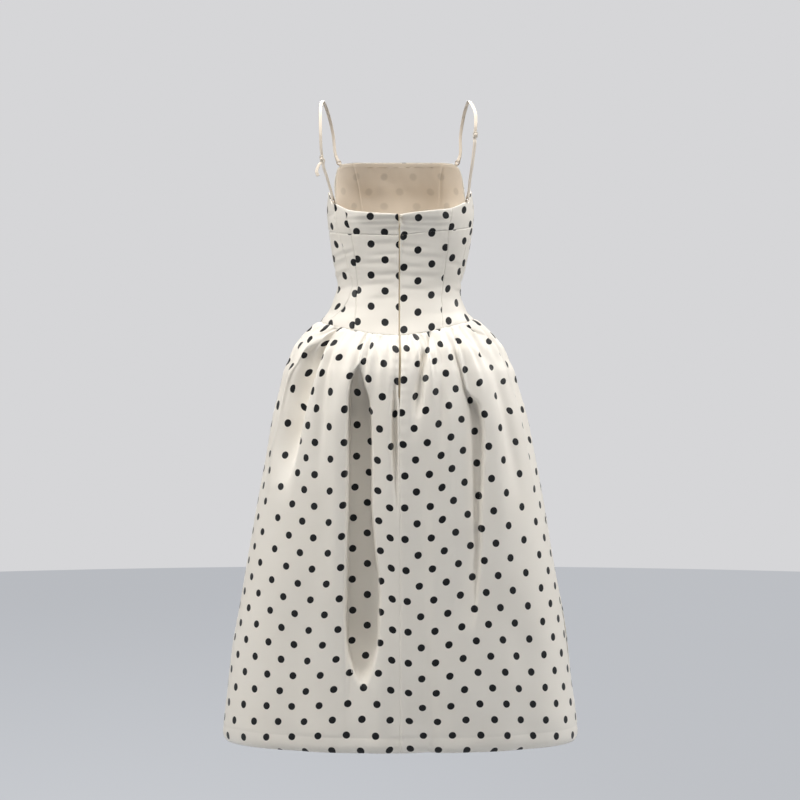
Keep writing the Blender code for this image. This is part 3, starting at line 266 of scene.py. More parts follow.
# A soft wrinkle of the bodice: where its middle is, how long and tall it is, how steeply it
# slants (metres down per degree of turn), and how deep it is.
Wrinkle = namedtuple("Wrinkle", "turn z half_turn half_height slant depth")
WRINKLES = rows_of(
    Wrinkle,
    # centre back panels and bands
    (26, -0.2175, 24, 0.0034, 0.00004, 0.0016), (20, -0.2265, 24, 0.003, 0.00003, 0.0013),
    (12, -0.237, 16, 0.0032, 0.00006, 0.001), (-20, -0.219, 24, 0.0036, -0.00004, 0.0015),
    (-30, -0.229, 20, 0.0034, -0.00003, 0.001), (-12, -0.238, 14, 0.0032, -0.00005, 0.0009),
    (20, -0.262, 22, 0.0045, 0.00005, 0.0009), (14, -0.282, 20, 0.004, 0.00009, 0.0007),
    (26, -0.298, 20, 0.005, 0.00004, 0.001), (12, -0.318, 18, 0.004, 0.0001, 0.0008),
    (24, -0.336, 20, 0.005, 0.00006, 0.0009), (-14, -0.268, 18, 0.004, -0.00008, 0.0008),
    (-26, -0.286, 20, 0.0045, -0.00005, 0.0009), (-12, -0.304, 18, 0.004, -0.0001, 0.0008),
    (-24, -0.322, 20, 0.005, -0.00006, 0.001), (-16, -0.345, 20, 0.0045, -0.00008, 0.0008),
    (18, -0.362, 18, 0.005, 0.0001, 0.0007),
    # left side, creased at the waist
    (66, -0.283, 12, 0.004, 0.0005, 0.0016), (74, -0.3, 12, 0.0045, 0.00045, 0.0018),
    (70, -0.318, 11, 0.004, 0.0004, 0.0014), (82, -0.326, 12, 0.005, 0.0003, 0.0016),
    (76, -0.347, 12, 0.0045, 0.0002, 0.0013), (95, -0.31, 12, 0.005, -0.0002, 0.0013),
    (98, -0.338, 13, 0.005, -0.00015, 0.0014), (78, -0.212, 8, 0.005, 0.0006, 0.001),
    (88, -0.24, 12, 0.0045, 0.0003, 0.001), (108, -0.262, 12, 0.005, 0.00045, 0.0011),
    # right side
    (-64, -0.3, 10, 0.0045, -0.00035, 0.0011), (-78, -0.312, 12, 0.0045, -0.0004, 0.0015),
    (-86, -0.334, 12, 0.005, -0.00025, 0.0016), (-76, -0.35, 11, 0.0045, -0.0002, 0.0012),
    (-97, -0.322, 13, 0.005, 0.0002, 0.0014), (-90, -0.25, 12, 0.0045, -0.0003, 0.001),
    (-106, -0.268, 12, 0.005, -0.00045, 0.0011),
    # front
    (140, -0.275, 14, 0.0055, 0.0003, 0.001), (-141, -0.282, 14, 0.0055, -0.0003, 0.001),
    (168, -0.326, 18, 0.005, 0.00005, 0.001), (-170, -0.345, 20, 0.005, -0.00006, 0.0011),
    (176, -0.365, 18, 0.0045, 0.00004, 0.0008), (160, -0.296, 15, 0.0045, 0.0001, 0.0008),
    (-158, -0.306, 15, 0.0045, -0.0001, 0.0008),
)

LEAN_HEIGHTS = (-0.400, -0.310, -0.250, -0.232, -0.205, -0.190)
LEAN_DEPTHS = (0.0, 0.0, -0.0030, -0.0014, 0.0040, 0.0050)
LEAN_TURN, LEAN_FADE, HELD_BY_ZIP = 50.0, 12.0, 2.5  # degrees

# Above a bodice wrinkle's groove the cloth swells: by what part of the groove's depth, and how
# many of its half heights away.
SWELL_PART, SWELL_AWAY = 0.45, 1.7
BODICE_DRIFT = 0.00035
LARGE_FADES = (0.22, 0.45)  # parts of a fold's length over which it starts and ends
PINCH_FADES, PINCH_ROUNDNESS = (0.18, 0.70), 1.35
LOOSE_FROM, LOOSE_REACH = 0.12, 0.5  # drops over which the cloth's unevenness grows
SLOW_RISE, SLANT_RISE = 0.0016, 0.0007
RIPPLE_FROM, RIPPLE_REACH, RIPPLE_RISE = 0.66, 0.08, 0.00035
PUFF_HEIGHT, PUFF_START, PUFF_FADE = 0.0042, 0.0030, 0.022
HEM_STEP, HEM_STEP_WIDTH = 0.00045, 0.0025
NARROWEST_VALLEY, MOST_WALL = 0.5, 0.6  # degrees, and a wall's part of its valley's width
WAIST_SHIFT_FADE = 0.30  # drop over which the skirt comes back to the middle

PRINT_CELL = 0.0585  # side of the print's square, which has a dot at each corner and in its middle
DOT_RADIUS = 0.0068
# Where the print runs on the back of the skirt. At each height, the turns give the columns of dots
# from the centre back outwards, half a square apart, and the rows give the print's own height, in
# squares, at every ten degrees from the centre back.
PrintCourse = namedtuple("PrintCourse", "z turns rows")
FIRST_COLUMN = 1.5  # the first column's distance from the print's origin, in squares
ROW_TURNS = 10.0 * np.arange(9)
ROWS_PER_METRE = 17.6  # above the first course and below the last
PRINT_COURSES = {
    "skirt_back_left": rows_of(
        PrintCourse,
        (-0.43, (3.3, 9.8, 21.6, 23.1, 27.9, 38.8, 48.9, 51, 55.5, 64.5, 71),
         (12.92, 12.83, 12.8, 12.88, 12.72, 12.75, 12.81, 12.71, 12.29)),
        (-0.48, (0.7, 10, 20.2, 23.6, 30, 40.5, 49.4, 51.7, 59.3, 65.1, 72.2),
         (12.03, 11.97, 11.91, 11.89, 11.78, 11.77, 11.81, 11.66, 11.52)),
        (-0.53, (0.6, 10.3, 18.8, 26.1, 32.4, 41.8, 50, 52.4, 63.5, 66.2, 84.3),
         (11.16, 11.13, 11.1, 10.99, 11, 10.97, 11.03, 10.92, 10.89)),
        (-0.59, (3.8, 12.1, 17.3, 25.8, 32.7, 40.9, 49.8, 52.9, 58.6, 66.9, 81.6),
         (10.16, 10.12, 10.02, 10.02, 10.04, 10.03, 10, 10, 10.07)),
        (-0.66, (6, 13.7, 18.3, 26.1, 32, 39.4, 48.5, 53.1, 56.8, 66.6, 75),
         (8.95, 8.9, 8.79, 8.79, 8.84, 8.84, 8.79, 8.79, 8.8)),
        (-0.75, (6.3, 13, 19.8, 27.5, 32.7, 39.6, 47.6, 53.1, 58.9, 65.5, 74.4),
         (7.35, 7.22, 7.17, 7.18, 7.27, 7.27, 7.22, 7.17, 7.26)),
        (-0.85, (5.3, 11.5, 19.4, 27.7, 33.1, 39.9, 47.4, 53.5, 59.4, 65.6, 72.7),
         (5.51, 5.36, 5.37, 5.4, 5.47, 5.52, 5.45, 5.41, 5.42)),
        (-0.95, (4.4, 11.6, 19.2, 27, 33.9, 41, 48.4, 55.1, 60.1, 65.1, 71),
         (3.69, 3.57, 3.59, 3.62, 3.67, 3.72, 3.66, 3.62, 3.67)),
        (-1.06, (5.4, 12.8, 20.9, 28.6, 35.7, 42.3, 48.9, 54.9, 59.3, 64.2, 69.3),
         (1.68, 1.57, 1.55, 1.57, 1.65, 1.74, 1.75, 1.75, 1.79)),
        (-1.18, (6.2, 14.4, 22.4, 29.7, 36.5, 42.5, 49.1, 54.1, 59.4, 63, 67.5),
         (-0.71, -0.51, -0.55, -0.56, -0.54, -0.46, -0.39, -0.27, -0.17)),
    ),
    "skirt_back_right": rows_of(
        PrintCourse,
        (-0.43, (-7.7, -15.8, -24.1, -27.2, -33.8, -36.8, -48.1, -63.4, -71.8, -77.5, -84),
         (12.79, 12.96, 13.11, 12.84, 12.68, 12.69, 12.79, 12.74, 12.52)),
        (-0.48, (-5.1, -13.4, -20, -25.2, -31.9, -35.8, -44.4, -53.4, -63, -71.5, -81),
         (11.95, 11.98, 11.98, 11.8, 11.74, 11.62, 11.66, 11.67, 11.57)),
        (-0.53, (-2.4, -11.1, -16.8, -23.6, -30.9, -35.3, -44.8, -48.6, -58.6, -65.8, -76.8),
         (11.12, 11.14, 11.01, 10.92, 10.88, 10.69, 10.65, 10.69, 10.69)),
        (-0.59, (-1.4, -9.4, -16.7, -24.4, -30.8, -37.4, -45.6, -49.8, -57.5, -67.3, -76),
         (10.09, 10.08, 10, 9.87, 9.78, 9.66, 9.58, 9.59, 9.59)),
        (-0.66, (-3.1, -9.8, -17.7, -24.9, -30.6, -37, -45.5, -50.2, -57.3, -67.3, -79.2),
         (8.85, 8.85, 8.78, 8.63, 8.54, 8.46, 8.38, 8.36, 8.38)),
        (-0.75, (-2.8, -10.2, -18.2, -24.8, -31.3, -38.4, -44.8, -50.6, -57.3, -65.4, -73.5),
         (7.28, 7.29, 7.23, 7.07, 7.01, 6.92, 6.88, 6.83, 6.87)),
        (-0.85, (-3.6, -11.2, -19.1, -26.3, -33.3, -39.8, -45.8, -51.4, -57.4, -64.1, -71.8),
         (5.5, 5.54, 5.45, 5.34, 5.25, 5.22, 5.18, 5.17, 5.21)),
        (-0.95, (-4.7, -12.3, -20.4, -27.5, -34.3, -40.8, -46.7, -52.4, -58.2, -63.8, -69.8),
         (3.7, 3.73, 3.69, 3.59, 3.51, 3.5, 3.51, 3.53, 3.53)),
        (-1.06, (-4.9, -12.7, -20.9, -27.9, -34.8, -41.5, -47.3, -52.8, -58.3, -63.6, -68.5),
         (1.69, 1.76, 1.75, 1.65, 1.58, 1.6, 1.68, 1.7, 1.78)),
        (-1.18, (-6.1, -13.9, -22.4, -29.5, -36.2, -42.2, -48.2, -52.7, -59, -63, -67),
         (-0.7, -0.6, -0.57, -0.58, -0.54, -0.48, -0.44, -0.3, -0.2)),
    ),
}

# Where the print falls on each bodice panel: a dot's distance from the seam nearest the centre
# back, and its distance below the band seam, in metres.
PrintStart = namedtuple("PrintStart", "across down")
PRINT_STARTS = {
    name: PrintStart(*start)
    for name, *start in (
        ("bodice_back_left", -0.0012, 0.017), ("bodice_back_right", 0.007, 0.059),
        ("bodice_side_back_left", 0.004, 0.0517), ("bodice_side_back_right", 0.013, 0.0513),
        ("bodice_side_front_left", 0.017, 0.0213), ("bodice_side_front_right", 0.005, 0.065),
        ("bodice_front", 0.012, 0.03), ("band_back_left", 0.0262, -0.005),
        ("band_back_right", 0.008, 0), ("band_side_back_left", 0.002, -0.018),
        ("band_side_back_right", 0.004, -0.006), ("band_side_front_left", 0.018, -0.011),
        ("band_side_front_right", 0.018, -0.011), ("band_front", 0.021, -0.02),
    )
}
BODICE_CELL_ACROSS, BODICE_CELL_DOWN = 0.0522, 0.0565

StrapPoint = namedtuple("StrapPoint", "x y z")


def wrapped(turn):
    """The same turn between -180 and 180."""
    return (np.asarray(turn, float) + 180.0) % 360.0 - 180.0


def curve(table, along, value):
    """A smooth function through a column of a table."""
    return smooth_line(*([getattr(row, name) for row in table] for name in (along, value)))


def smooth_line(x, y):
    """A smooth function through points, which doesn't overshoot between them."""
    order = np.argsort(x)
    x, y = np.array(x, float)[order], np.array(y, float)[order]
    step = np.diff(x)
    rise = np.diff(y) / step
    slope = np.zeros(len(x))
    slope[0], slope[-1] = rise[0], rise[-1]
    for i in range(1, len(x) - 1):
        if rise[i - 1] * rise[i] > 0:
            before = step[i - 1] + 2 * step[i]
            after = 2 * step[i - 1] + step[i]
            slope[i] = (before + after) / (before / rise[i] + after / rise[i - 1])

    def at(where):
        where = np.clip(where, x[0], x[-1])
        i = np.clip(np.searchsorted(x, where, side="right") - 1, 0, len(step) - 1)
        t = (where - x[i]) / step[i]
        return (
            (1 + 2 * t) * (1 - t) ** 2 * y[i]
            + t * (1 - t) ** 2 * step[i] * slope[i]
            + t**2 * (3 - 2 * t) * y[i + 1]
            + t**2 * (t - 1) * step[i] * slope[i + 1]
        )

    return at


def ease(t):
    """0 to 1, with a flat start and end."""
    t = np.clip(t, 0.0, 1.0)
    return t * t * (3 - 2 * t)


def near(distance, width):
    """1 at no distance, falling smoothly to almost 0 at twice the width."""
    return np.exp(-((distance / width) ** 2))


def wave(turn, times, start=0.0, slide=0.0):
    """A sine around the body, this many times in a full turn, moved on by a start in degrees and a
    slide in radians."""
    return np.sin(np.radians(turn * times + start) + slide)


body_half_width, body_front, body_back, body_shift = (
    curve(BODY, "z", column) for column in ("half_width", "front", "back", "shift")
)
skirt_half_width, skirt_front_depth, skirt_back_depth = (
    curve(SKIRT, "z", column) for column in ("half_width", "front", "back")
)
lean_depth = smooth_line(LEAN_HEIGHTS, LEAN_DEPTHS)
top_edge_curve = curve(TOP_EDGE, "turn", "z")
band_seam_curve = curve(BAND_SEAM, "turn", "z")
gather_height = curve(GATHERS, "drop", "height")


def oval(turn, half_width, depth, power):
    across = np.abs(np.sin(np.radians(turn))) / half_width
    along = np.abs(np.cos(np.radians(turn))) / depth
    return (across**power + along**power) ** (-1 / power)


def body_radius(turn, z):
    facing_back = np.cos(np.radians(turn)) > 0
    depth = np.where(facing_back, body_back(z), body_front(z))
    radius = oval(turn, body_half_width(z), depth, OVAL_POWER)
    from_front = 180.0 - np.abs(wrapped(turn))
    bust = ((from_front - BUST_TURN) / BUST_SPREAD) ** 2 + ((z - BUST_Z) / BUST_HEIGHT) ** 2
    return radius + BUST_RISE * np.exp(-bust)


def wrinkled(turn, z):
    """How far the bodice's soft wrinkles push it inwards."""
    total = np.zeros(np.broadcast(turn, z).shape)
    for wrinkle in WRINKLES:
        offset = wrapped(turn - wrinkle.turn)
        middle = wrinkle.z - wrinkle.slant * offset
        across = np.exp(-((offset / wrinkle.half_turn) ** 4))
        down = (z - middle) / wrinkle.half_height
        groove = near(down, 1.0) - SWELL_PART * near(down - SWELL_AWAY, 1.0)
        total = total + wrinkle.depth * across * groove
    return total + BODICE_DRIFT * wave(turn, 7, 0, z * 95) * wave(turn, 3.3, 0, 1.3 - z * 41)


def placed(turn, radius, z, shift):
    angle = np.radians(turn)
    return np.stack([radius * np.sin(angle) + shift, radius * np.cos(angle), z], axis=-1)


def body_surface(turn, z):
    turn, z = np.broadcast_arrays(np.asarray(turn, float), np.asarray(z, float))
    return placed(turn, body_radius(turn, z), z, body_shift(z))


def band_lean(turn, z):
    """The band stands off the back at its top edge and is drawn in at its lower seam."""
    beside_zip = 1 - near(turn, HELD_BY_ZIP)
    reach = ease((LEAN_TURN - np.abs(wrapped(turn))) / LEAN_FADE)
    return beside_zip * reach * lean_depth(z)


def worn_bodice(turn, z):
    turn, z = np.broadcast_arrays(np.asarray(turn, float), np.asarray(z, float))
    radius = body_radius(turn, z) - wrinkled(turn, z) + band_lean(turn, z)
    return placed(turn, radius, z, body_shift(z))


def waist_seam(turn):
    angle = np.radians(turn)
    return WAIST_SEAM_SIDE_Z - WAIST_SEAM_DIP * np.cos(angle) ** 2 - WAIST_SEAM_TILT * np.sin(angle)


def band_seam(turn):
    return band_seam_curve(np.abs(wrapped(turn))) - BAND_SEAM_TILT * np.sin(np.radians(turn))


def top_edge(turn):
    turn = wrapped(turn)
    on_back = np.abs(turn) < 90
    tilt = np.where(on_back, TOP_EDGE_TILT * np.sin(np.radians(2 * turn)), 0.0)
    return top_edge_curve(np.abs(turn)) - tilt


def fold_depth(folds, turn, drop, fades, roundness=2.0):
    """How far folds push the skirt inwards. With a low roundness they are sharp at the bottom."""
    total = np.zeros(np.broadcast(turn, drop).shape)
    for fold in folds:
        t = (drop - fold.drop_top) / (fold.drop_low - fold.drop_top)
        course = (
            fold.turn_top * (1 - t) * (1 - 2 * t)
            + fold.turn_middle * 4 * t * (1 - t)
            + fold.turn_low * t * (2 * t - 1)
        )
        offset = wrapped(turn - np.where((t > 0) & (t < 1), course, fold.turn_middle))
        width = np.where(offset > 0, fold.left_width, fold.right_width)
        strength = ease(t / fades[0]) * ease((1 - t) / fades[1])
        total = total + fold.depth * strength * np.exp(-(np.abs(offset / width) ** roundness))
    return total


def gather_phase(panel, t):
    sway = panel.sway * (np.sin(2 * np.pi * t) + 0.6 * np.sin(6 * np.pi * t + 1) - 0.6 * np.sin(1))
    return panel.gathers * (t + sway)


def gather_rise(turn, drop):
    """How far the small gathers lift the skirt, with each gather of its own height."""
    turn = wrapped(turn)
    total = np.zeros(np.broadcast(turn, drop).shape)
    for panel in SKIRT_PANELS.values():
        t = ((turn - panel.start) % 360.0) / (panel.end - panel.start)
        inside = t <= 1.0
        phase = gather_phase(panel, np.clip(t, 0, 1))
        heights = np.random.default_rng(panel.seed).uniform(0.55, 1.35, panel.gathers)
        own = heights[np.clip(phase.astype(int), 0, panel.gathers - 1)]
        wave = own * (1 - np.cos(2 * np.pi * phase))
        total = np.where(inside, wave, total)
    return total * gather_height(drop)


def plain_skirt(turn, z):
    facing_back = np.cos(np.radians(turn)) > 0
    depth = np.where(facing_back, skirt_back_depth(z), skirt_front_depth(z))
    return oval(turn, skirt_half_width(z), depth, SKIRT_POWER)


def skirt_radius(turn, z):
    seam_z = waist_seam(turn)
    drop = np.maximum(seam_z - z, 0.0)
    into_roll = np.clip((HEM_Z + HEM_ROLL_HEIGHT - z) / HEM_ROLL_HEIGHT, 0.0, 0.97)
    roll = HEM_ROLL_DEPTH * (1 - np.sqrt(1 - into_roll**2))
    radius = body_radius(turn, seam_z) + plain_skirt(turn, z) - plain_skirt(turn, seam_z)
    large = fold_depth(FOLDS, turn, drop, LARGE_FADES)
    return radius + gather_rise(turn, drop) - large - roll


def loose_cloth(turn, drop):
    """Small unevenness of the skirt's cloth, stronger towards the hem."""
    low = ease((drop - LOOSE_FROM) / LOOSE_REACH)
    slow = wave(turn, 5, 40, drop * 9) * wave(turn, 2.3, 0, 0.6 - drop * 13)
    slant = wave(turn, 11, -70, drop * 23) * wave(turn, 4.1, 15, drop * 17)
    ripple = np.sin(drop * 118 + 2.1 * wave(turn, 6))
    near_hem = ease((drop - RIPPLE_FROM) / RIPPLE_REACH)
    return SLOW_RISE * low * slow + SLANT_RISE * low * slant + RIPPLE_RISE * near_hem * ripple


def hem_fold(above_hem):
    """The step where the turned-up hem ends inside."""
    return HEM_STEP * near(above_hem - HEM_TURN_UP, HEM_STEP_WIDTH)


def valley_depth(turn, z):
    """How far the sharpened folds of the back push the skirt away from the eye."""
    total = np.zeros(np.broadcast(turn, z).shape)
    columns = ("left", "right", "left_depth", "right_depth")
    for fold in VALLEYS:
        left, right, left_depth, right_depth = (curve(fold.rows, "z", c)(z) for c in columns)
        width = np.maximum(left - right, NARROWEST_VALLEY)
        part = np.clip((left - turn) / width, 0.0, 1.0)
        depth = left_depth + (right_depth - left_depth) * part
        wall_left = np.minimum(fold.left_wall, width * MOST_WALL)
        wall_right = np.minimum(fold.right_wall, width * MOST_WALL)
        inside = ease((left - turn) / wall_left + 0.5) * ease((turn - right) / wall_right + 0.5)
        total = total + depth * inside
    return total


def puffed(turn, drop):
    """The cloth rises over the waist seam between its gathers, by uneven amounts."""
    turn = wrapped(turn)
    uneven = 1.0 + 0.50 * wave(turn, 17, 20) + 0.40 * wave(turn, 29, 75)
    return PUFF_HEIGHT * uneven * (1 - np.exp(-drop / PUFF_START)) * np.exp(-drop / PUFF_FADE)


def worn_skirt(turn, z, valley_share=1.0):
    turn, z = np.broadcast_arrays(np.asarray(turn, float), np.asarray(z, float))
    seam_z = waist_seam(turn)
    drop = np.maximum(seam_z - z, 0.0)
    radius = skirt_radius(turn, z)
    pinched = fold_depth(PINCHES, turn, drop, PINCH_FADES, PINCH_ROUNDNESS)
    radius = radius - pinched + puffed(turn, drop)
    radius = radius + loose_cloth(turn, drop) - hem_fold(z - HEM_Z)
    shift = body_shift(seam_z) * (1 - ease((seam_z - z) / WAIST_SHIFT_FADE))
    points = placed(turn, radius, z, shift)
    deep = fold_depth(DEEP_FOLDS, turn, drop, LARGE_FADES)
    points[..., 1] -= valley_share * (deep + valley_depth(wrapped(turn), z))
    return points


def outward(surface, turn, z, lowest=-2.0, highest=0.0):
    d_turn, d_z = 0.15, 0.0006
    above, below = np.minimum(z + d_z, highest), np.maximum(z - d_z, lowest)
    around = surface(turn + d_turn, z) - surface(turn - d_turn, z)
    up = surface(turn, above) - surface(turn, below)
    normal = np.cross(up, around)
    return normal / np.linalg.norm(normal, axis=-1, keepdims=True)


# ================================================================ materials


def named(values):
    """Keyword names as socket names, which have spaces."""
    return {name.replace("_", " "): value for name, value in values.items()}


class Nodes:
    """Adds shader nodes to one tree. A method returns its new node's output."""

    def __init__(self, tree):
        self.tree = tree

    def fill(self, sockets, values):
        """Sets each socket to a number, a vector or a colour, or links another node's output."""
        for name, value in values.items():
            if isinstance(value, bpy.types.NodeSocket):
                self.tree.links.new(value, sockets[name])
            else:
                sockets[name].default_value = value

    def add(self, kind, inputs, **settings):
        node = self.tree.nodes.new(kind)
        for name, value in settings.items():
            setattr(node, name, value)
        self.fill(node.inputs, inputs)
        return node.outputs

    def math(self, operation, *values, clamp=False):
        inputs = dict(enumerate(values))
        return self.add("ShaderNodeMath", inputs, operation=operation, use_clamp=clamp)[0]

    def vector(self, operation, *values):
        inputs = dict(enumerate(values))
        outputs = self.add("ShaderNodeVectorMath", inputs, operation=operation)
        return outputs["Value" if operation in ("LENGTH", "DOT_PRODUCT") else "Vector"]

    def smooth_range(self, value, low, high, start=0.0, end=1.0):
        inputs = {"Value": value, "From Min": low, "From Max": high, "To Min": start, "To Max": end}
        return self.add("ShaderNodeMapRange", inputs, interpolation_type="SMOOTHSTEP")["Result"]

    def mixed(self, factor, *colours):
        """The mix node has its two colours at inputs 6 and 7, and their mixture at output 2."""
        first, second = ((*c, 1.0) if isinstance(c, tuple) else c for c in colours)
        inputs = {"Factor": factor, 6: first, 7: second}
        return self.add("ShaderNodeMix", inputs, data_type="RGBA")[2]

    def noise(self, place, scale, detail):
        inputs = {"Vector": place, "Scale": scale, "Detail": detail}
        return self.add("ShaderNodeTexNoise", inputs)["Fac"]


def new_group(name, inputs, outputs):
    """A shader node group with named sockets. Returns its nodes, its inputs and its outputs."""
    group = bpy.data.node_groups.new(name, "ShaderNodeTree")
    for socket, kind, *value in inputs:
        kind = "NodeSocket" + kind
        made = group.interface.new_socket(name=socket, in_out="INPUT", socket_type=kind)
        if value:
            made.default_value = value[0]
    for socket in outputs:
        group.interface.new_socket(name=socket, in_out="OUTPUT", socket_type="NodeSocketFloat")
    given = group.nodes.new("NodeGroupInput").outputs
    return Nodes(group), given, group.nodes.new("NodeGroupOutput").inputs


def make_dots_group():
    """Round dots at the corners and the middle of each square of the print."""
    nodes, given, result = new_group(
        "Round dots",
        (
            ("Print position", "Vector"),
            ("Square size", "Vector"),
            ("Dot radius", "Float", DOT_RADIUS),
            ("Edge softness", "Float", 0.0004),
        ),
        ("Dot",),
    )
    position, middle = given["Print position"], (0.5, 0.5, 0.0)
    distances = []
    for offset in (middle, (0.0, 0.0, 0.0)):
        part = nodes.vector("FRACTION", nodes.vector("ADD", position, offset))
        from_dot = nodes.vector("SUBTRACT", part, middle)
        from_dot = nodes.vector("MULTIPLY", from_dot, given["Square size"])
        distances.append(nodes.vector("LENGTH", from_dot))
    wobble = nodes.math("SUBTRACT", nodes.noise(position, 9.0, 2.0), 0.5)
    uneven = nodes.math("MULTIPLY", wobble, DOT_UNEVENNESS)
    radius = nodes.math("ADD", given["Dot radius"], uneven)
    inside = nodes.math("SUBTRACT", radius, nodes.math("MINIMUM", *distances))
    softened = nodes.math("DIVIDE", inside, given["Edge softness"])
    nodes.fill(result, {"Dot": nodes.math("ADD", softened, 0.5, clamp=True)})
    return nodes.tree


def make_weave_group():
    """A fine satin weave: long warp floats with small crossings, in metres of cloth."""
    nodes, given, result = new_group(
        "Satin weave",
        (("Cloth position", "Vector"), ("Threads per metre", "Float", 1500.0)),
        ("Height", "Thread shade"),
    )
    inputs = {0: given["Cloth position"], "Scale": given["Threads per metre"]}
    scaled = nodes.add("ShaderNodeVectorMath", inputs, operation="SCALE")["Vector"]
    threads = []
    for floats, share in (((1.0, 0.16, 1.0), 0.65), ((0.12, 0.7, 1.0), 0.35)):
        noise = nodes.noise(nodes.vector("MULTIPLY", scaled, floats), 1.0, 1.0)
        threads.append(nodes.math("MULTIPLY", noise, share))
    height = nodes.math("ADD", *threads)
    shade = nodes.smooth_range(height, 0.35, 0.65)
    nodes.fill(result, {"Height": height, "Thread shade": shade})
    return nodes.tree


def make_unevenness_group():
    """Slow and middling changes of tone, as on handled and steamed cloth."""
    nodes, given, result = new_group(
        "Soft unevenness",
        (("Place", "Vector"), ("Patch size", "Float", 0.08)),
        ("Tone", "Rub"),
    )
    scale = nodes.math("DIVIDE", 1.0, given["Patch size"])
    for name, factor, low, high in (("Tone", 1.0, 0.3, 0.7), ("Rub", 6.0, 0.4, 0.75)):
        noise = nodes.noise(given["Place"], nodes.math("MULTIPLY", scale, factor), 3.0)
        nodes.fill(result, {name: nodes.smooth_range(noise, low, high)})
    return nodes.tree


DOT_UNEVENNESS = 0.0006
DOTS = make_dots_group()
WEAVE = make_weave_group()
UNEVENNESS = make_unevenness_group()


class Finish(Nodes):
    """A material that is being put together around a Principled BSDF."""

    def __init__(self, name, roughness, **settings):
        self.material = bpy.data.materials.new(name)
        self.material.use_nodes = True
        super().__init__(self.material.node_tree)
        self.shader(Roughness=roughness, **settings)

    def shader(self, **values):
        """Sets or links the shader's own sockets."""
        self.fill(self.tree.nodes["Principled BSDF"].inputs, named(values))

    def group(self, made, **values):
        return self.add("ShaderNodeGroup", named(values), node_tree=made)

    def uv(self, name):
        return self.add("ShaderNodeUVMap", {}, uv_map=name)["UV"]

    def place(self):
        return self.add("ShaderNodeTexCoord", {})["Object"]

    def unevenness(self, patch_size):
        return self.group(UNEVENNESS, Place=self.place(), Patch_size=patch_size)

    def rubbed(self, rub, roughness, more):
        """Rubbed places are rougher."""
        self.shader(Roughness=self.smooth_range(rub, 0.0, 1.0, roughness, roughness + more))

    def bump(self, height, strength, distance):
        inputs = {"Height": height, "Strength": strength, "Distance": distance}
        self.shader(Normal=self.add("ShaderNodeBump", inputs)["Normal"])


# How a kind of cloth takes light: its sheen, how far its tone drifts and over what distance, how
# much its threads shade and stand up, and how much rougher it is where it is rubbed.
ClothLook = namedtuple(
    "ClothLook", "specular sheen sheen_roughness patch drift thread_shade bump thread_height rub"
)
SATIN_LOOK = ClothLook(0.35, 0.18, 0.45, 0.09, 0.35, 0.10, 0.22, 0.00025, 0.14)
PLAIN_LOOK = ClothLook(0.30, 0.12, 0.50, 0.05, 0.50, 0.25, 0.35, 0.00030, 0.0)
Dots = namedtuple("Dots", "ink strength edge_softness")


def cloth(name, look, colour, shade, threads_per_metre, roughness, dots=None):
    """Woven cloth in one colour that drifts towards a shade of it, with printed dots or none."""
    finish = Finish(
        name,
        roughness,
        Specular_IOR_Level=look.specular,
        Sheen_Weight=look.sheen,
        Sheen_Roughness=look.sheen_roughness,
    )
    position, square = finish.uv("print"), finish.uv("square")
    on_cloth = finish.vector("MULTIPLY", position, square)
    weave = finish.group(WEAVE, Cloth_position=on_cloth, Threads_per_metre=threads_per_metre)
    uneven = finish.unevenness(look.patch)
    ground = finish.mixed(finish.math("MULTIPLY", uneven["Tone"], look.drift), colour, shade)
    threads = finish.math("MULTIPLY", weave["Thread shade"], look.thread_shade)
    ground = finish.mixed(threads, ground, shade)
    if dots:
        dot = finish.group(
            DOTS, Print_position=position, Square_size=square, Edge_softness=dots.edge_softness
        )["Dot"]
        ground = finish.mixed(finish.math("MULTIPLY", dot, dots.strength), ground, dots.ink)
    finish.shader(Base_Color=ground)
    if look.rub:
        finish.rubbed(uneven["Rub"], roughness, look.rub)
    finish.bump(weave["Height"], look.bump, look.thread_height)
    return finish.material


def small_metal(name, colour, worn, roughness, metallic=1.0):
    finish = Finish(name, roughness, Metallic=metallic)
    uneven = finish.unevenness(0.004)
    finish.shader(Base_Color=finish.mixed(uneven["Tone"], colour, worn))
    finish.rubbed(uneven["Rub"], roughness, 0.22)
    finish.bump(uneven["Rub"], 0.12, 0.0001)
    return finish.material


IVORY, IVORY_SHADED = (0.845, 0.800, 0.725), (0.800, 0.745, 0.660)
LINING_SHADED = (0.700, 0.605, 0.490)
DOT_INK, DOTS_FROM_BEHIND = (0.0036, 0.0038, 0.0050), (0.30, 0.29, 0.29)
DOTS_THROUGH_LINING = tuple(0.45 * c for c in LINING_SHADED)
SATIN, SATIN_REVERSE, LINING_CLOTH, FACING_CLOTH, STRAP_SATIN, TAPE_CLOTH = (
    cloth(*row)
    for row in (
        ("Dotted ivory satin", SATIN_LOOK, IVORY, IVORY_SHADED, 1500.0, 0.46,
         Dots(DOT_INK, 1.0, 0.0004)),
        ("Dotted satin, reverse side", SATIN_LOOK, IVORY, IVORY_SHADED, 1500.0, 0.46,
         Dots(DOTS_FROM_BEHIND, 0.75, 0.0004)),
        ("Beige lining", PLAIN_LOOK, (0.770, 0.680, 0.570), LINING_SHADED, 2200.0, 0.62,
         Dots(DOTS_THROUGH_LINING, 0.26, 0.0034)),
        ("Tan facing strip", PLAIN_LOOK, (0.78, 0.69, 0.58), (0.700, 0.605, 0.485), 1500.0, 0.60),
        ("Cream strap satin", PLAIN_LOOK, (0.83, 0.74, 0.63), (0.74, 0.64, 0.52), 1800.0, 0.42),
        ("Cream zip tape", PLAIN_LOOK, (0.86, 0.74, 0.54), (0.78, 0.65, 0.45), 900.0, 0.70),
    )
)
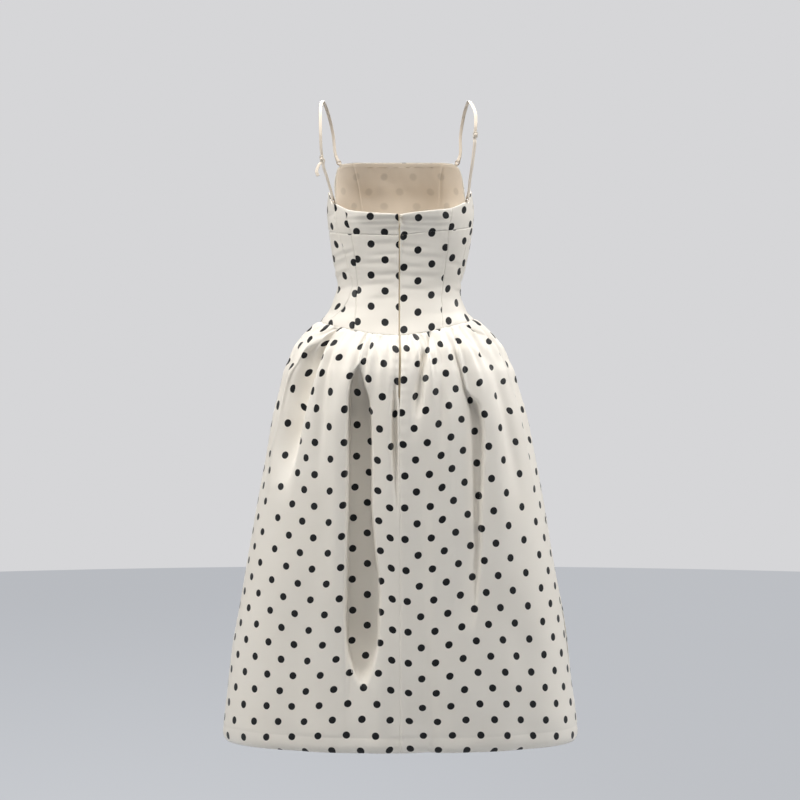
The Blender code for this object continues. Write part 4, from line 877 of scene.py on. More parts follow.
RING_METAL = small_metal("Dull gold ring metal", (0.50, 0.38, 0.25), (0.22, 0.15, 0.10), 0.34)
ZIP_METAL = small_metal("Cream lacquered metal", (0.84, 0.79, 0.70), (0.70, 0.64, 0.54), 0.30, 0.0)

# ================================================================ thin shells


def linked(name, data):
    """A new object in the scene."""
    obj = bpy.data.objects.new(name, data)
    bpy.context.scene.collection.objects.link(obj)
    return obj


def grid_faces(index):
    """Four-cornered faces between neighbouring points of a grid of point numbers."""
    corners = (index[:-1, :-1], index[:-1, 1:], index[1:, 1:], index[1:, :-1])
    return np.stack([c.ravel() for c in corners], axis=1)


def mesh_object(name, points, faces, materials, uvs, slots=None):
    """A smooth mesh on the dress's body, with its print's position and square size."""
    mesh = bpy.data.meshes.new(name)
    mesh.from_pydata(points.tolist(), [], faces)
    for made in materials:
        mesh.materials.append(made)
    if slots is not None:
        mesh.polygons.foreach_set("material_index", np.asarray(slots, np.int32))
    corner_points = np.empty(len(mesh.loops), np.int32)
    mesh.loops.foreach_get("vertex_index", corner_points)
    for uv_name, values in zip(("print", "square"), uvs):
        layer = mesh.uv_layers.new(name=uv_name)
        layer.data.foreach_set("uv", values[corner_points].astype(np.float32).ravel())
    mesh.shade_smooth()
    obj = linked(name, mesh)
    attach(obj, "dress")
    return obj


def shell(name, outer, inner, print_uv, square, materials, facing_rows=0):
    """A thin closed shell between two grids of points. The first material is the outer side's and
    the last one the inner side's, whose first rows may be a facing in the second material."""
    down, across = outer.shape[:2]
    count = down * across
    index = np.arange(count).reshape(down, across)
    front, back = grid_faces(index), grid_faces(index + count)[:, ::-1]
    rim = np.concatenate([index[0], index[1:, -1], index[-1, ::-1][1:], index[::-1, 0][1:-1]])
    after = np.roll(rim, -1)
    edge = np.stack([after, rim, rim + count, after + count], axis=1)
    faces = np.concatenate([front, back, edge]).tolist()
    slots = np.zeros(len(faces), int)
    slots[len(front) : 2 * len(front)] = len(materials) - 1
    slots[len(front) : len(front) + facing_rows * (across - 1)] = 1
    points = np.concatenate([outer.reshape(-1, 3), inner.reshape(-1, 3)])
    uvs = [np.tile(grid.reshape(-1, 2), (2, 1)) for grid in (print_uv, square)]
    return mesh_object(name, points, faces, materials, uvs, slots)


def line_lengths(points):
    """Length along a line of points from its first."""
    steps = np.linalg.norm(np.diff(points, axis=0), axis=1)
    return np.concatenate([[0.0], np.cumsum(steps)])


def row_lengths(points):
    """Length along each row of a grid from its first column."""
    steps = np.linalg.norm(np.diff(points, axis=1), axis=2)
    return np.concatenate([np.zeros((len(points), 1)), np.cumsum(steps, axis=1)], axis=1)


def declare_stretched(node):
    """Hides the solid of a cloth piece."""
    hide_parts(node)


# ================================================================ bodice

MEAN_RADIUS = 0.12  # of the waist and bodice
PANEL_GAP = 0.00012
CLOTH_THICK = 0.0011
SEAM_DIP, SEAM_DIP_WIDTH = 0.00075, 0.0011
PUCKER, PUCKER_LENGTH, PUCKER_REACH, PUCKER_START = 0.00028, 0.0125, 0.0065, 0.002
EDGE_ROUND, EDGE_TURN = 0.0036, 0.0013
LIP_ROLL, LIP_RISE = 0.0009, 0.0005
ZIP_SLIT, ZIP_SLIT_END = 0.0023, -0.545
CLOSE_COLUMNS = (0.0005, 0.0011, 0.0019)  # from a panel's seams
CLOSE_ROWS = (0.0005, 0.0011, 0.0020, 0.0030)  # from a panel's upper and lower edges
CORNER_MARGIN = 0.04  # part of a panel's width beside its seams where no corner gets a column
SETTLING_ROUNDS = 8


def seam(column, side=1.0):
    turn_at = curve(SEAMS, "z", column)
    return lambda z: side * turn_at(z)


def centre_seam(z):
    """The centre-back seam hangs straight although the waist stands a little to one side."""
    return -np.degrees(body_shift(z) / body_back(z))


def left_of_zip(z):
    """The left back stops short of the centre, so that the zip's own line shows."""
    return centre_seam(z) + np.degrees(ZIP_SLIT / body_radius(0.0, z))


def front_seam_on_right(z):
    return 360.0 - seam("front")(z)


Panel = namedtuple("Panel", "from_seam to_seam columns back_seam_last")
BODICE_PANELS = {
    "back_left": Panel(left_of_zip, seam("back_left"), 62, False),
    "side_back_left": Panel(seam("back_left"), seam("side_left"), 26, False),
    "side_front_left": Panel(seam("side_left"), seam("front"), 96, False),
    "front": Panel(seam("front"), front_seam_on_right, 80, False),
    "side_front_right": Panel(seam("front", -1.0), seam("side_right", -1.0), 88, True),
    "side_back_right": Panel(seam("side_right", -1.0), seam("back_right", -1.0), 40, True),
    "back_right": Panel(seam("back_right", -1.0), centre_seam, 62, True),
}


def panel_columns(panel):
    """Fractions of a panel's width, closer where the top edge is steep and beside the seams."""

    def across(fraction, z):
        start = panel.from_seam(z)
        return start + (panel.to_seam(z) - start) * fraction

    t = np.linspace(0, 1, 800)
    turns = across(t, band_seam(0.0))
    measure = np.zeros(len(t))
    for edge in (waist_seam, top_edge):
        lengths = line_lengths(body_surface(turns, edge(turns)))
        width = lengths[-1]
        measure += lengths / width
    fractions = np.interp(np.linspace(0, measure[-1], panel.columns + 1), measure, t)
    free = set(range(2, panel.columns - 1))
    for corner in (*EDGE_CORNERS, *(-turn for turn in EDGE_CORNERS)):
        z = top_edge(corner)
        fraction = (corner - across(0, z)) / (across(1, z) - across(0, z))
        if CORNER_MARGIN < fraction < 1 - CORNER_MARGIN:
            nearest = min(free, key=lambda i: abs(fractions[i] - fraction))
            fractions[nearest] = fraction
            free.remove(nearest)
    near_seams = np.array(CLOSE_COLUMNS) / width
    return np.sort(np.concatenate([fractions, near_seams, 1 - near_seams]))


def levels_between(height, count):
    """Parts of a height, closer together towards both ends."""
    close = np.array(CLOSE_ROWS) / height
    clear = close[-1] * 1.3
    middle = np.linspace(0, 1, count)
    middle = middle[(middle > clear) & (middle < 1 - clear)]
    return np.concatenate([[0.0], close, middle, 1 - close[::-1], [1.0]])[::-1]


def panel_grid(panel, bottom, top, levels, gap):
    middle_z = (bottom(0.0) + top(0.0)) / 2
    across = panel_columns(panel)
    turn_rows, z_rows = [], []
    for level in levels:
        z = np.full(len(across), middle_z)
        for _ in range(SETTLING_ROUNDS):
            left, right = panel.from_seam(z), panel.to_seam(z)
            left = left + np.degrees(gap / 2 / body_radius(left, z))
            right = right - np.degrees(gap / 2 / body_radius(right, z))
            turns = left + (right - left) * across
            low, high = bottom(turns) + gap * 0.7, top(turns) - gap * 0.7
            z = low + (high - low) * level
        turn_rows.append(turns)
        z_rows.append(z)
    return np.array(turn_rows), np.array(z_rows)


def zip_lip(distance):
    """The folded edge beside the zip stands up a little and rolls in at its very end."""
    return LIP_ROLL * near(distance, 0.0004) - LIP_RISE * near(distance - 0.0014, 0.0009)


def pressed_seams(points, turns, heights, low_seam, high_seam, zip_column):
    """How far the cloth dips at its four edges, with puckers drawn in by the sewing. zip_column is
    the zip's own edge, if the panel has it: 0 for the first column and -1 for the last."""
    lengths = row_lengths(points)
    from_left, from_right = lengths, lengths[:, -1:] - lengths
    beside = np.minimum(from_left, from_right)
    dip = np.zeros(turns.shape)
    if zip_column is not None:
        from_zip, beside = (from_left, from_right) if zip_column == 0 else (from_right, from_left)
        dip += zip_lip(from_zip)
    distances = [beside, heights - low_seam(turns)]
    if high_seam:
        distances.append(high_seam(turns) - heights)
    for k, (distance, run) in enumerate(zip(distances, (heights, lengths, lengths))):
        distance = np.maximum(distance, 0.0)
        pucker = np.sin(run * 2 * np.pi / PUCKER_LENGTH + 3 * np.sin(run * 61) + k)
        dip += SEAM_DIP * near(distance, SEAM_DIP_WIDTH)
        dip += PUCKER * pucker * np.exp(-distance / PUCKER_REACH) * ease(distance / PUCKER_START)
    return dip


def bodice_piece(name, panel, bottom, top, height, count, rounded_top):
    levels = levels_between(height, count)
    turns, heights = panel_grid(panel, bottom, top, levels, PANEL_GAP)
    flat = worn_bodice(turns, heights)
    normal = outward(worn_bodice, turns, heights)
    zip_column = {"back_left": 0, "back_right": -1}.get(name.split("_", 1)[1])
    high_seam = None if rounded_top else top
    dip = pressed_seams(flat, turns, heights, bottom, high_seam, zip_column)
    inner_dip = CLOTH_THICK
    if rounded_top:
        into = np.clip(1 - np.maximum(top(turns) - heights, 0.0) / EDGE_ROUND, 0, 1)
        turned_over = EDGE_TURN * (1 - np.sqrt(1 - 0.98 * into**2))
        dip += turned_over
        inner_dip = (CLOTH_THICK + 0.6 * turned_over)[..., None]
    start = PRINT_STARTS[name]
    lengths = row_lengths(flat)
    across = lengths[:, -1:] - lengths if panel.back_seam_last else lengths
    across = (across - start.across) / BODICE_CELL_ACROSS
    down = (band_seam(turns) - heights - start.down) / BODICE_CELL_DOWN
    print_uv = np.stack([-across if panel.back_seam_last else across, -down], axis=-1)
    square = np.broadcast_to([BODICE_CELL_ACROSS, BODICE_CELL_DOWN], print_uv.shape)
    outer, inner = flat - normal * dip[..., None], flat - normal * inner_dip
    made = shell(name, outer, inner, print_uv, square, [SATIN, SATIN_REVERSE])
    declare_stretched(name)


def make_bodice():
    for name, panel in BODICE_PANELS.items():
        bodice_piece("bodice_" + name, panel, waist_seam, band_seam, 0.180, 74, False)
        height, count = (0.100, 34) if "front" in name else (0.040, 20)
        bodice_piece("band_" + name, panel, band_seam, top_edge, height, count, True)


LINING_BEHIND, LINING_THICK = 0.0019, 0.0009
LINING_TOP_DROP, LINING_WAIST_RISE, LINING_ZIP_GAP = 0.0014, 0.002, 0.0065
FACING_HEIGHT, BELOW_FACING = 0.0052, 0.0016
FACING_ROWS = (0.0, 0.0010, 0.0030, FACING_HEIGHT - 0.0004, FACING_HEIGHT, FACING_HEIGHT + 0.0008)
FACING_EDGE, FACING_EDGE_WIDTH = 0.0003, 0.0012
LINING_RIDGE, LINING_RIDGE_WIDTH, LINING_SLACK = 0.00056, 0.0016, 0.0007
ROWS_OF_FACING = 4
ZIP_COLUMNS = 60  # this many columns at each end may lie behind the zip
LINING_CELL_ACROSS, LINING_CELL_DOWN, LINING_DOT_Z = 0.0570, 0.0560, -0.1640


def lining_grid():
    """Turns and heights over the whole bodice, in rows from the top edge to the waist seam."""
    pieces = []
    for low, high, count in ((band_seam, top_edge, 30), (waist_seam, band_seam, 40)):
        levels = np.linspace(1, 0, count)
        if high is top_edge:
            levels = np.concatenate([[1.0] * len(FACING_ROWS), levels[2:-1]])
        grids = []
        for panel in BODICE_PANELS.values():
            coarse = panel._replace(columns=max(10, panel.columns // 2))
            grid = np.stack(panel_grid(coarse, low, high, levels, 0.0))
            grids.append(grid[:, :, 1:] if grids else grid)
        grids[0][0] = wrapped(grids[0][0])
        pieces.append(np.concatenate(grids, axis=2))
    return np.concatenate(pieces, axis=1)


def make_lining():
    """The lining in one tube inside the panels, open at the zip, with a facing at the top."""
    turns, heights = lining_grid()
    top = top_edge(turns) - LINING_TOP_DROP
    below = len(FACING_ROWS)
    heights[:below] = top[:below] - np.array(FACING_ROWS)[:, None]
    heights[below:] = np.minimum(heights[below:], top[below:] - FACING_HEIGHT - BELOW_FACING)
    heights = np.maximum(heights, waist_seam(turns) + LINING_WAIST_RISE)
    gap = np.degrees(LINING_ZIP_GAP / body_radius(0.0, heights[:, :1]))
    centre = centre_seam(heights[:, :1])
    near_zip = np.abs(wrapped(turns - centre)) < gap
    column, last = np.arange(turns.shape[1]), turns.shape[1]
    turns = np.where(near_zip & (column < ZIP_COLUMNS), centre + gap, turns)
    turns = np.where(near_zip & (column > last - ZIP_COLUMNS), centre - gap, turns)
    clear = ~near_zip.any(axis=0)
    kept = slice(int(np.argmax(clear)) - 1, last - int(np.argmax(clear[::-1])) + 1)
    turns, heights, top = turns[:, kept], heights[:, kept], top[:, kept]
    base = worn_bodice(turns, heights)
    normal = outward(worn_bodice, turns, heights)
    ridge = np.zeros(turns.shape)
    for side in (-1, 1):
        for name in ("front", "side_left" if side > 0 else "side_right"):
            away = np.radians(wrapped(turns - seam(name, side)(heights))) * MEAN_RADIUS
            ridge += LINING_RIDGE * near(away, LINING_RIDGE_WIDTH)
    facing = np.exp(-np.abs(top - heights - FACING_HEIGHT) / FACING_EDGE_WIDTH)
    slack = LINING_SLACK * wave(turns, 9) * wave(turns, 4, 0, heights * 60)
    inside = LINING_BEHIND + LINING_THICK + ridge + FACING_EDGE * facing
    inside = inside + np.abs(slack)
    outer, inner = base - normal * LINING_BEHIND, base - normal * inside[..., None]
    every_turn = np.arange(0.0, 361.0)
    around = line_lengths(body_surface(every_turn, -0.150))
    across = np.interp(turns % 360.0, every_turn, around - around[180]) / LINING_CELL_ACROSS
    print_uv = np.stack([across, (heights - LINING_DOT_Z) / LINING_CELL_DOWN], axis=-1)
    square = np.broadcast_to([LINING_CELL_ACROSS, LINING_CELL_DOWN], print_uv.shape)
    finishes = [LINING_CLOTH, FACING_CLOTH, LINING_CLOTH]
    name = "bodice_lining_cloth"
    made = shell(name, outer, inner, print_uv, square, finishes, ROWS_OF_FACING)
    declare_stretched("bodice_lining")


# ================================================================ skirt

SKIRT_THICK = 0.0010
SKIRT_LENGTH = 0.72  # the nominal drop of the rows' plan, from the waist seam to the first hem row
SKIRT_ROWS = np.concatenate(
    [
        [0.0, 0.0006, 0.0012, 0.002],
        np.arange(0.0035, 0.10, 0.0022),
        np.arange(0.10, 0.30, 0.0042),
        np.arange(0.30, 0.715, 0.0080),
    ]
)
HEM_ROWS = (
    0.036, 0.032, 0.0295, 0.028, 0.0265, 0.024, 0.020, 0.015, 0.011, 0.0075, 0.0045, 0.002, 0.0
)
SKIRT_COLUMNS = 128  # in a quarter of the skirt
CLOSE_TO_SEAM = (0.0022, 0.0055)  # parts of a quarter
FRONT_PRINT_RISE = 0.040
OVERLAP_DIP, OVERLAP_WIDTH = 0.0009, 0.0007  # at the gathered edge, over the waist seam
OVERLAP_SWELL, SWELL_WIDTH = 0.0004, 0.004
SKIRT_SEAM_DIP, SKIRT_SEAM_WIDTH = 0.0009, 0.0012
SKIRT_PUCKER, SKIRT_PUCKER_LENGTH, SKIRT_PUCKER_REACH = 0.0005, 0.017, 0.010
SLIT_FADE = 0.03  # height over which the zip's slit closes at its end
PRINT_VALLEY_SHARE = 0.2  # part of the deep folds' cloth that the print counts


def seam_overlap(turns):
    """The gathered edge stands unevenly over the waist seam."""
    return 0.0007 + 0.0004 * wave(turns, 23, 10) + 0.0003 * wave(turns, 41, 50)


def print_columns(name, turns, heights, lengths):
    """The print's own position across a back panel, from its columns of dots. Past the last one it
    follows the cloth."""
    courses = PRINT_COURSES[name]
    side = 1.0 if name == "skirt_back_left" else -1.0
    levels = [course.z for course in courses]
    column_turns = [smooth_line(levels, column) for column in zip(*(c.turns for c in courses))]
    columns = side * (FIRST_COLUMN - 0.5 * np.arange(-1, len(column_turns) + 8))
    half = side * PRINT_CELL / 2
    across = np.empty(turns.shape)
    for row, (turn, z, length) in enumerate(zip(turns, heights, lengths)):
        levels_here = [z.mean()] * len(column_turns)
        for _ in range(4):
            found = [float(at(level)) for at, level in zip(column_turns, levels_here)]
            levels_here = [np.interp(t, turn, z) for t in found]
        places = np.interp(found, turn, length)
        before, beyond = places[:1] - 1.2 * half, places[-1] + 0.92 * half * np.arange(1, 9)
        across[row] = smooth_line(np.concatenate([before, places, beyond]), columns)(length)
    return across


def print_rows(name, turns, heights):
    """The print's own height on a back panel, in squares."""
    courses = PRINT_COURSES[name]
    levels = [course.z for course in courses]
    within = np.clip(heights, levels[-1], levels[0])
    at = np.clip(np.abs(turns), 0.0, ROW_TURNS[-1] - 0.001) / 10.0
    before = np.floor(at)
    part = at - before
    rows = np.zeros(turns.shape)
    for k, column in enumerate(zip(*(course.rows for course in courses))):
        share = np.where(before == k, 1 - part, 0.0) + np.where(before == k - 1, part, 0.0)
        rows += share * smooth_line(levels, column)(within)
    return rows + (heights - within) * ROWS_PER_METRE


def square_width(across, lengths):
    """How wide a square of the print is on the cloth, evened out along each row."""
    local = np.gradient(lengths, axis=1) / np.maximum(np.abs(np.gradient(across, axis=1)), 1e-4)
    padded = np.pad(local, ((0, 0), (5, 5)), mode="edge")
    evened = sum(padded[:, k : k + local.shape[1]] for k in range(11)) / 11
    return np.clip(evened, 0.60 * PRINT_CELL, 2.00 * PRINT_CELL)


def plain_drop(turns, heights):
    """Lengths down the smooth form between neighbouring rows."""
    radius = plain_skirt(turns, heights) - plain_skirt(turns, waist_seam(turns))
    return np.hypot(np.diff(radius, axis=0), np.diff(heights, axis=0))


def make_skirt():
    for name, panel in SKIRT_PANELS.items():
        quarters = (panel.end - panel.start) // 90
        near_seam = np.array(CLOSE_TO_SEAM) / quarters
        t = np.linspace(0, 1, SKIRT_COLUMNS * quarters + 1)
        t = np.sort(np.concatenate([t, near_seam, 1 - near_seam]))
        turns = panel.start + (panel.end - panel.start) * t
        seam_z = waist_seam(turns) + seam_overlap(turns)
        first_hem = HEM_Z + HEM_ROWS[0]
        rows = [seam_z - drop * (seam_z - first_hem) / SKIRT_LENGTH for drop in SKIRT_ROWS]
        heights = np.array(rows + [np.full(len(t), HEM_Z + height) for height in HEM_ROWS])
        turns = np.tile(turns, (len(heights), 1))
        to_centre = centre_seam(seam_z[0]) * (1 - ease((seam_z - heights) / 0.20))
        if name == "skirt_back_left":
            slit = ZIP_SLIT * ease((heights - ZIP_SLIT_END) / SLIT_FADE + 0.5)
            turns = turns + (np.degrees(slit / MEAN_RADIUS) + to_centre) * (1 - t) ** 8
        if name == "skirt_back_right":
            turns = turns + to_centre * t**8
        flat = worn_skirt(turns, heights)
        lengths = row_lengths(flat)
        beside = np.minimum(lengths, lengths[:, -1:] - lengths)
        below_edge = seam_z - heights
        dip = OVERLAP_DIP * near(below_edge, OVERLAP_WIDTH)
        dip -= OVERLAP_SWELL * near(below_edge, SWELL_WIDTH)
        dip += SKIRT_SEAM_DIP * near(beside, SKIRT_SEAM_WIDTH)
        pucker = np.sin(heights * 2 * np.pi / SKIRT_PUCKER_LENGTH + 2.5 * np.sin(heights * 37))
        pucker = pucker * np.exp(-beside / SKIRT_PUCKER_REACH) * ease(beside / PUCKER_START)
        dip += SKIRT_PUCKER * pucker
        normal = outward(worn_skirt, turns, heights, HEM_Z, 0.0)
        outer = flat - normal * dip[..., None]
        inner = flat - normal * (SKIRT_THICK + 0.4 * np.maximum(dip, 0.0))[..., None]
        plain_lengths = row_lengths(worn_skirt(turns, heights, PRINT_VALLEY_SHARE))
        if name in PRINT_COURSES:
            across = print_columns(name, turns, heights, plain_lengths)
            up = print_rows(name, turns, heights)
        else:
            across = np.tile(lengths[-1] / PRINT_CELL, (len(lengths), 1))
            drops = np.cumsum(plain_drop(turns, heights)[::-1], axis=0)
            drops = np.concatenate([np.zeros((1, len(t))), drops])[::-1]
            up = (drops - FRONT_PRINT_RISE) / PRINT_CELL
        width = square_width(across, plain_lengths)
        print_uv = np.stack([across, up], axis=-1)
        square = np.stack([width, np.full(up.shape, PRINT_CELL)], axis=-1)
        made = shell(name + "_cloth", outer, inner, print_uv, square, [SATIN, SATIN_REVERSE])
        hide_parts(name)


# ================================================================ straps

STRAP_WIDTH, STRAP_THICK = 0.0060, 0.0010
LOOP_BAR = 0.0012
RING_HEIGHT = 0.0062
ADJUSTER_HEIGHT = 0.0104
TURN_RADIUS = 0.00155
TAB_STAND, RING_STAND, STRAP_LEAD = 0.0005, 0.0030, 0.012
EASING_ROUNDS, EASED_BEFORE_TOP = 60, 0.05
TOP_WALL = 0.0015 + 0.0003 + 0.0010  # panel, gap and lining

STRAP_LEFT = rows_of(
    StrapPoint,
    (0.1231, -0.07, -0.068), (0.128, -0.064, -0.0436), (0.1325, -0.05, -0.024),
    (0.1385, -0.028, -0.0065), (0.1422, 0, 0), (0.1448, 0.028, -0.007), (0.1455, 0.05, -0.026),
    (0.1447, 0.063, -0.068), (0.1427, 0.06, -0.108), (0.133, 0.053, -0.143),
)
STRAP_RIGHT = rows_of(
    StrapPoint,
    (-0.1118, -0.07, -0.068), (-0.1162, -0.064, -0.04), (-0.1195, -0.049, -0.02),
    (-0.124, -0.027, -0.006), (-0.1268, 0, 0), (-0.132, 0.027, -0.008), (-0.1385, 0.048, -0.03),
    (-0.1375, 0.06, -0.064), (-0.133, 0.06, -0.11), (-0.128, 0.053, -0.145),
)
SPARE_END_LEFT = rows_of(
    StrapPoint,
    (0.1474, 0.0506, -0.1175), (0.1508, 0.053, -0.1245), (0.1524, 0.055, -0.131),
    (0.1495, 0.0565, -0.139),
)
StrapSide = namedtuple("StrapSide", "route front_turn back_turn adjuster_z spare_end")
STRAPS = {
    "left": StrapSide(STRAP_LEFT, 124.0, 70.0, -0.1080, SPARE_END_LEFT),
    "right": StrapSide(STRAP_RIGHT, -124.0, -70.0, -0.0640, ()),
}
Offset = namedtuple("Offset", "s out")
TAB_LEG, TAB_FOOT = 0.0014, -0.0008  # heights of the loop's legs above the edge and below its stand
RIBBON_STEP = 0.0010
EDGE_SWEEP = 1.45  # radians each way round a ribbon's edge
LOOSE_END = (0.90, -0.20, 0.35)  # across the spare end where it hangs free


def unit(vector):
    return vector / np.linalg.norm(vector, axis=-1, keepdims=True)


def edge_seat(turn):
    """A place in the middle of the top edge's wall, and the direction along the edge."""
    step = 0.3
    here = body_surface(turn, top_edge(turn))
    seat = here - outward(body_surface, turn, top_edge(turn)) * TOP_WALL / 2
    ahead, behind = (body_surface(t, top_edge(t)) for t in (turn + step, turn - step))
    return seat, unit(ahead - behind)


def smooth_path(lengths, points):
    """A smooth function from a length to a point, through the columns of the points."""
    axes = [smooth_line(lengths, column) for column in np.transpose(points)]
    return lambda s: np.stack([axis(s) for axis in axes], axis=-1)


def ribbon_profile(width, thick):
    """The outline of a ribbon with rounded edges and a slightly raised middle."""
    half, rim = width / 2, thick / 2
    sweep = np.linspace(-EDGE_SWEEP, EDGE_SWEEP, 5)
    profile = [(-half + rim * (1 - math.cos(a)), rim * math.sin(a)) for a in sweep]
    flat_part = np.linspace(-0.62, 0.62, 3) * half
    crown = [(x, rim * (1.0 + 0.10 * math.cos(x / half * 1.5))) for x in flat_part]
    right = [(-x, y) for x, y in profile[::-1]]
    lower = [(x, -y) for x, y in crown[::-1]]
    return np.array(profile + crown + right + lower)


def ribbon(node, middle, across):
    """A satin ribbon with rounded edges along a line of middle points."""
    lengths = line_lengths(np.array(middle))
    fine = np.linspace(0, lengths[-1], max(12, int(lengths[-1] / RIBBON_STEP)))
    line = smooth_path(lengths, middle)(fine)
    sideways = smooth_path(lengths, across)(fine)
    along = unit(np.gradient(line, axis=0))
    facing = unit(np.cross(sideways, along))
    square = unit(np.cross(along, facing))
    loop = ribbon_profile(STRAP_WIDTH, STRAP_THICK)
    points = line[:, None] + loop[:, :1] * square[:, None] + loop[:, 1:] * facing[:, None]
    points = points.reshape(-1, 3)
    index = np.arange(len(points)).reshape(len(fine), len(loop))
    sides = grid_faces(np.concatenate([index, index[:, :1]], axis=1))
    a, b, c = (points[sides[:, corner]] for corner in (0, 1, 2))
    faces = sides.tolist() + [index[0][::-1].tolist(), index[-1].tolist()]
    if np.einsum("ij,ij->", a, np.cross(b, c)) < 0:
        faces = [face[::-1] for face in faces]
    uv = np.stack([np.tile(loop[:, 0], len(fine)), np.repeat(fine, len(loop))], axis=1)
    made = mesh_object(node + "_satin", points, faces, [STRAP_SATIN], [uv, np.ones_like(uv)])
    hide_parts(node)


def half_turn(centre, outwards, beyond):
    angle = np.linspace(0, np.pi, 9)
    return [centre + TURN_RADIUS * (np.cos(a) * outwards + np.sin(a) * beyond) for a in angle]


class Route:
    """A smooth line through points, measured from its start, with the strap's directions."""

    def __init__(self, points, first_across, last_across):
        points = np.array(points)
        lengths = line_lengths(points)
        self.length = lengths[-1]
        self.top = lengths[int(np.argmax(points[:, 2]))]
        fine = np.linspace(0.0, self.length, 160)
        line = smooth_path(lengths, points)(fine)
        eased = line.copy()
        for _ in range(EASING_ROUNDS):
            eased[1:-1] = (eased[:-2] + 2 * eased[1:-1] + eased[2:]) / 4
        share = ease((self.top - fine) / EASED_BEFORE_TOP)[:, None]
        self.at = smooth_path(fine, line * (1 - share) + eased * share)
        self.first_across, self.last_across = first_across, last_across

    def frame(self, s):
        """Across, along and outwards at a length."""
        along = unit(self.at(min(s + 0.001, self.length)) - self.at(max(s - 0.001, 0.0)))
        first = ease((self.top - s) / self.top)
        last = ease((s - self.top) / (self.length - self.top))
        level = (1 - first - last) * np.array((1.0, 0.0, 0.0))
        across = unit(first * self.first_across + last * self.last_across + level)
        facing = unit(np.cross(across, along))
        return unit(np.cross(along, facing)), along, facing


def make_tab(side, place, turn, towards):
    """The loop that holds a strap's ring at the top edge. Returns the strap's bar of that ring,
    with the directions across and up."""
    seat, along_edge = edge_seat(turn)
    across = along_edge * (-1.0 if place == "front" else 1.0)
    up = np.array(towards) - seat
    up = unit(up - across * np.dot(up, across))
    centre = seat + up * (RING_STAND + RING_HEIGHT / 2)
    to_bar = up * (RING_HEIGHT - LOOP_BAR) / 2
    facing = unit(np.cross(across, up))
    foot = STRAP_THICK / 2 + 0.00015
    heights = (TAB_STAND + TAB_FOOT, TAB_LEG)
    front_leg = [seat + up * rise + facing * foot for rise in heights]
    back_leg = [seat + up * rise - facing * foot for rise in heights[::-1]]
    middle = front_leg + half_turn(centre - to_bar, facing, up) + back_leg
    ribbon(f"tab_{place}_{side}", middle, np.tile(across, (len(middle), 1)))
    return centre + to_bar, across, up


def make_strap(side, strap):
    front_bar, front_across, front_up = make_tab(side, "front", strap.front_turn, strap.route[0])
    back_bar, back_across, back_up = make_tab(side, "back", strap.back_turn, strap.route[-1])
    points = [front_bar, front_bar + front_up * STRAP_LEAD]
    points += [np.array(point) for point in strap.route]
    points += [back_bar + back_up * STRAP_LEAD, back_bar]
    route = Route(points, front_across, back_across)
    end = route.length
    samples = np.linspace(route.top, end, 400)
    heights = np.array([route.at(s)[2] for s in samples])
    middle = float(np.interp(-strap.adjuster_z, -heights, samples))

    reach = (ADJUSTER_HEIGHT - LOOP_BAR) / 2
    bar_clear = STRAP_THICK / 2 + LOOP_BAR / 2 + 0.0004
    layer = STRAP_THICK / 2 + 0.00018
    at_back_ring = ((middle + reach + 0.012, layer), (end - 0.010, layer), (end, TURN_RADIUS))
    outer_rows = rows_of(
        Offset,
        (0.0, TURN_RADIUS),
        (0.010, layer),
        (0.017, 0.0),
        (middle - reach - 0.012, 0.0),
        (middle - reach, -bar_clear),
        (middle, bar_clear),
        (middle + reach, -bar_clear),
        *at_back_ring,
    )
    inner_rows = rows_of(
        Offset, (middle, bar_clear), (middle + reach, bar_clear + 2 * layer), *at_back_ring
    )
    tail_layer = layer + 0.0001
    tail_rows = rows_of(Offset, (0.0, TURN_RADIUS), (0.010, tail_layer), (0.012, tail_layer))

    def stretch(lengths, rows, sense):
        """Places on the route, set off from it, with the direction across at each."""
        offset = curve(rows, "s", "out")
        frames = [route.frame(s) for s in lengths]
        places = [
            route.at(s) + facing * sense * float(offset(s))
            for s, (_, _, facing) in zip(lengths, frames)
        ]
        return places, [across for across, _, _ in frames]

    def turned(s, bar, sense, up):
        """Half a turn round a ring's bar."""
        across, _, facing = route.frame(s)
        places = half_turn(bar, sense * facing, -up)[1:-1]
        return places, [across] * len(places)

    near_adjuster = np.linspace(middle - reach - 0.010, middle + reach + 0.010, 31)
    doubled = max(2, int((end - middle) / 0.010))
    down = (
        np.linspace(0.0, 0.016, 8),
        np.linspace(0.020, near_adjuster[0] - 0.004, 34),
        near_adjuster,
        np.linspace(near_adjuster[-1] + 0.006, end - 0.014, doubled),
        np.linspace(end - 0.010, end, 6),
    )
    up_again = (
        np.linspace(end, end - 0.010, 6),
        np.linspace(end - 0.014, middle + reach + 0.013, doubled),
        np.linspace(middle + reach + 0.010, middle, 12),
    )
    parts = (
        stretch(np.linspace(0.011, 0.0, 6), tail_rows, -1),
        turned(0.0, front_bar, -1, front_up),
        stretch(np.concatenate(down), outer_rows, 1),
        turned(end, back_bar, 1, back_up),
        stretch(np.concatenate(up_again), inner_rows, -1),
    )
    line, directions = (sum(lists, []) for lists in zip(*parts))
    ribbon(f"strap_{side}", line, directions)
    if strap.spare_end:
        start = [
            route.at(s) - route.frame(s)[2] * behind
            for s, behind in ((middle - 0.001, 0.0030), (middle + reach, 0.0046))
        ]
        across = route.frame(middle)[0]
        make_spare_end(f"strap_spare_end_{side}", start + list(strap.spare_end), across)


def make_spare_end(node, points, across):
    loose = unit(np.array(LOOSE_END))
    route = Route(points, across, loose)
    lengths = np.linspace(0, route.length, 24)
    line = [route.at(s) for s in lengths]
    turned = ease((lengths / route.length)[:, None] * 1.5 - 0.3)
    ribbon(node, line, unit(across * (1 - turned) + loose * turned))


# ================================================================ metal and zip

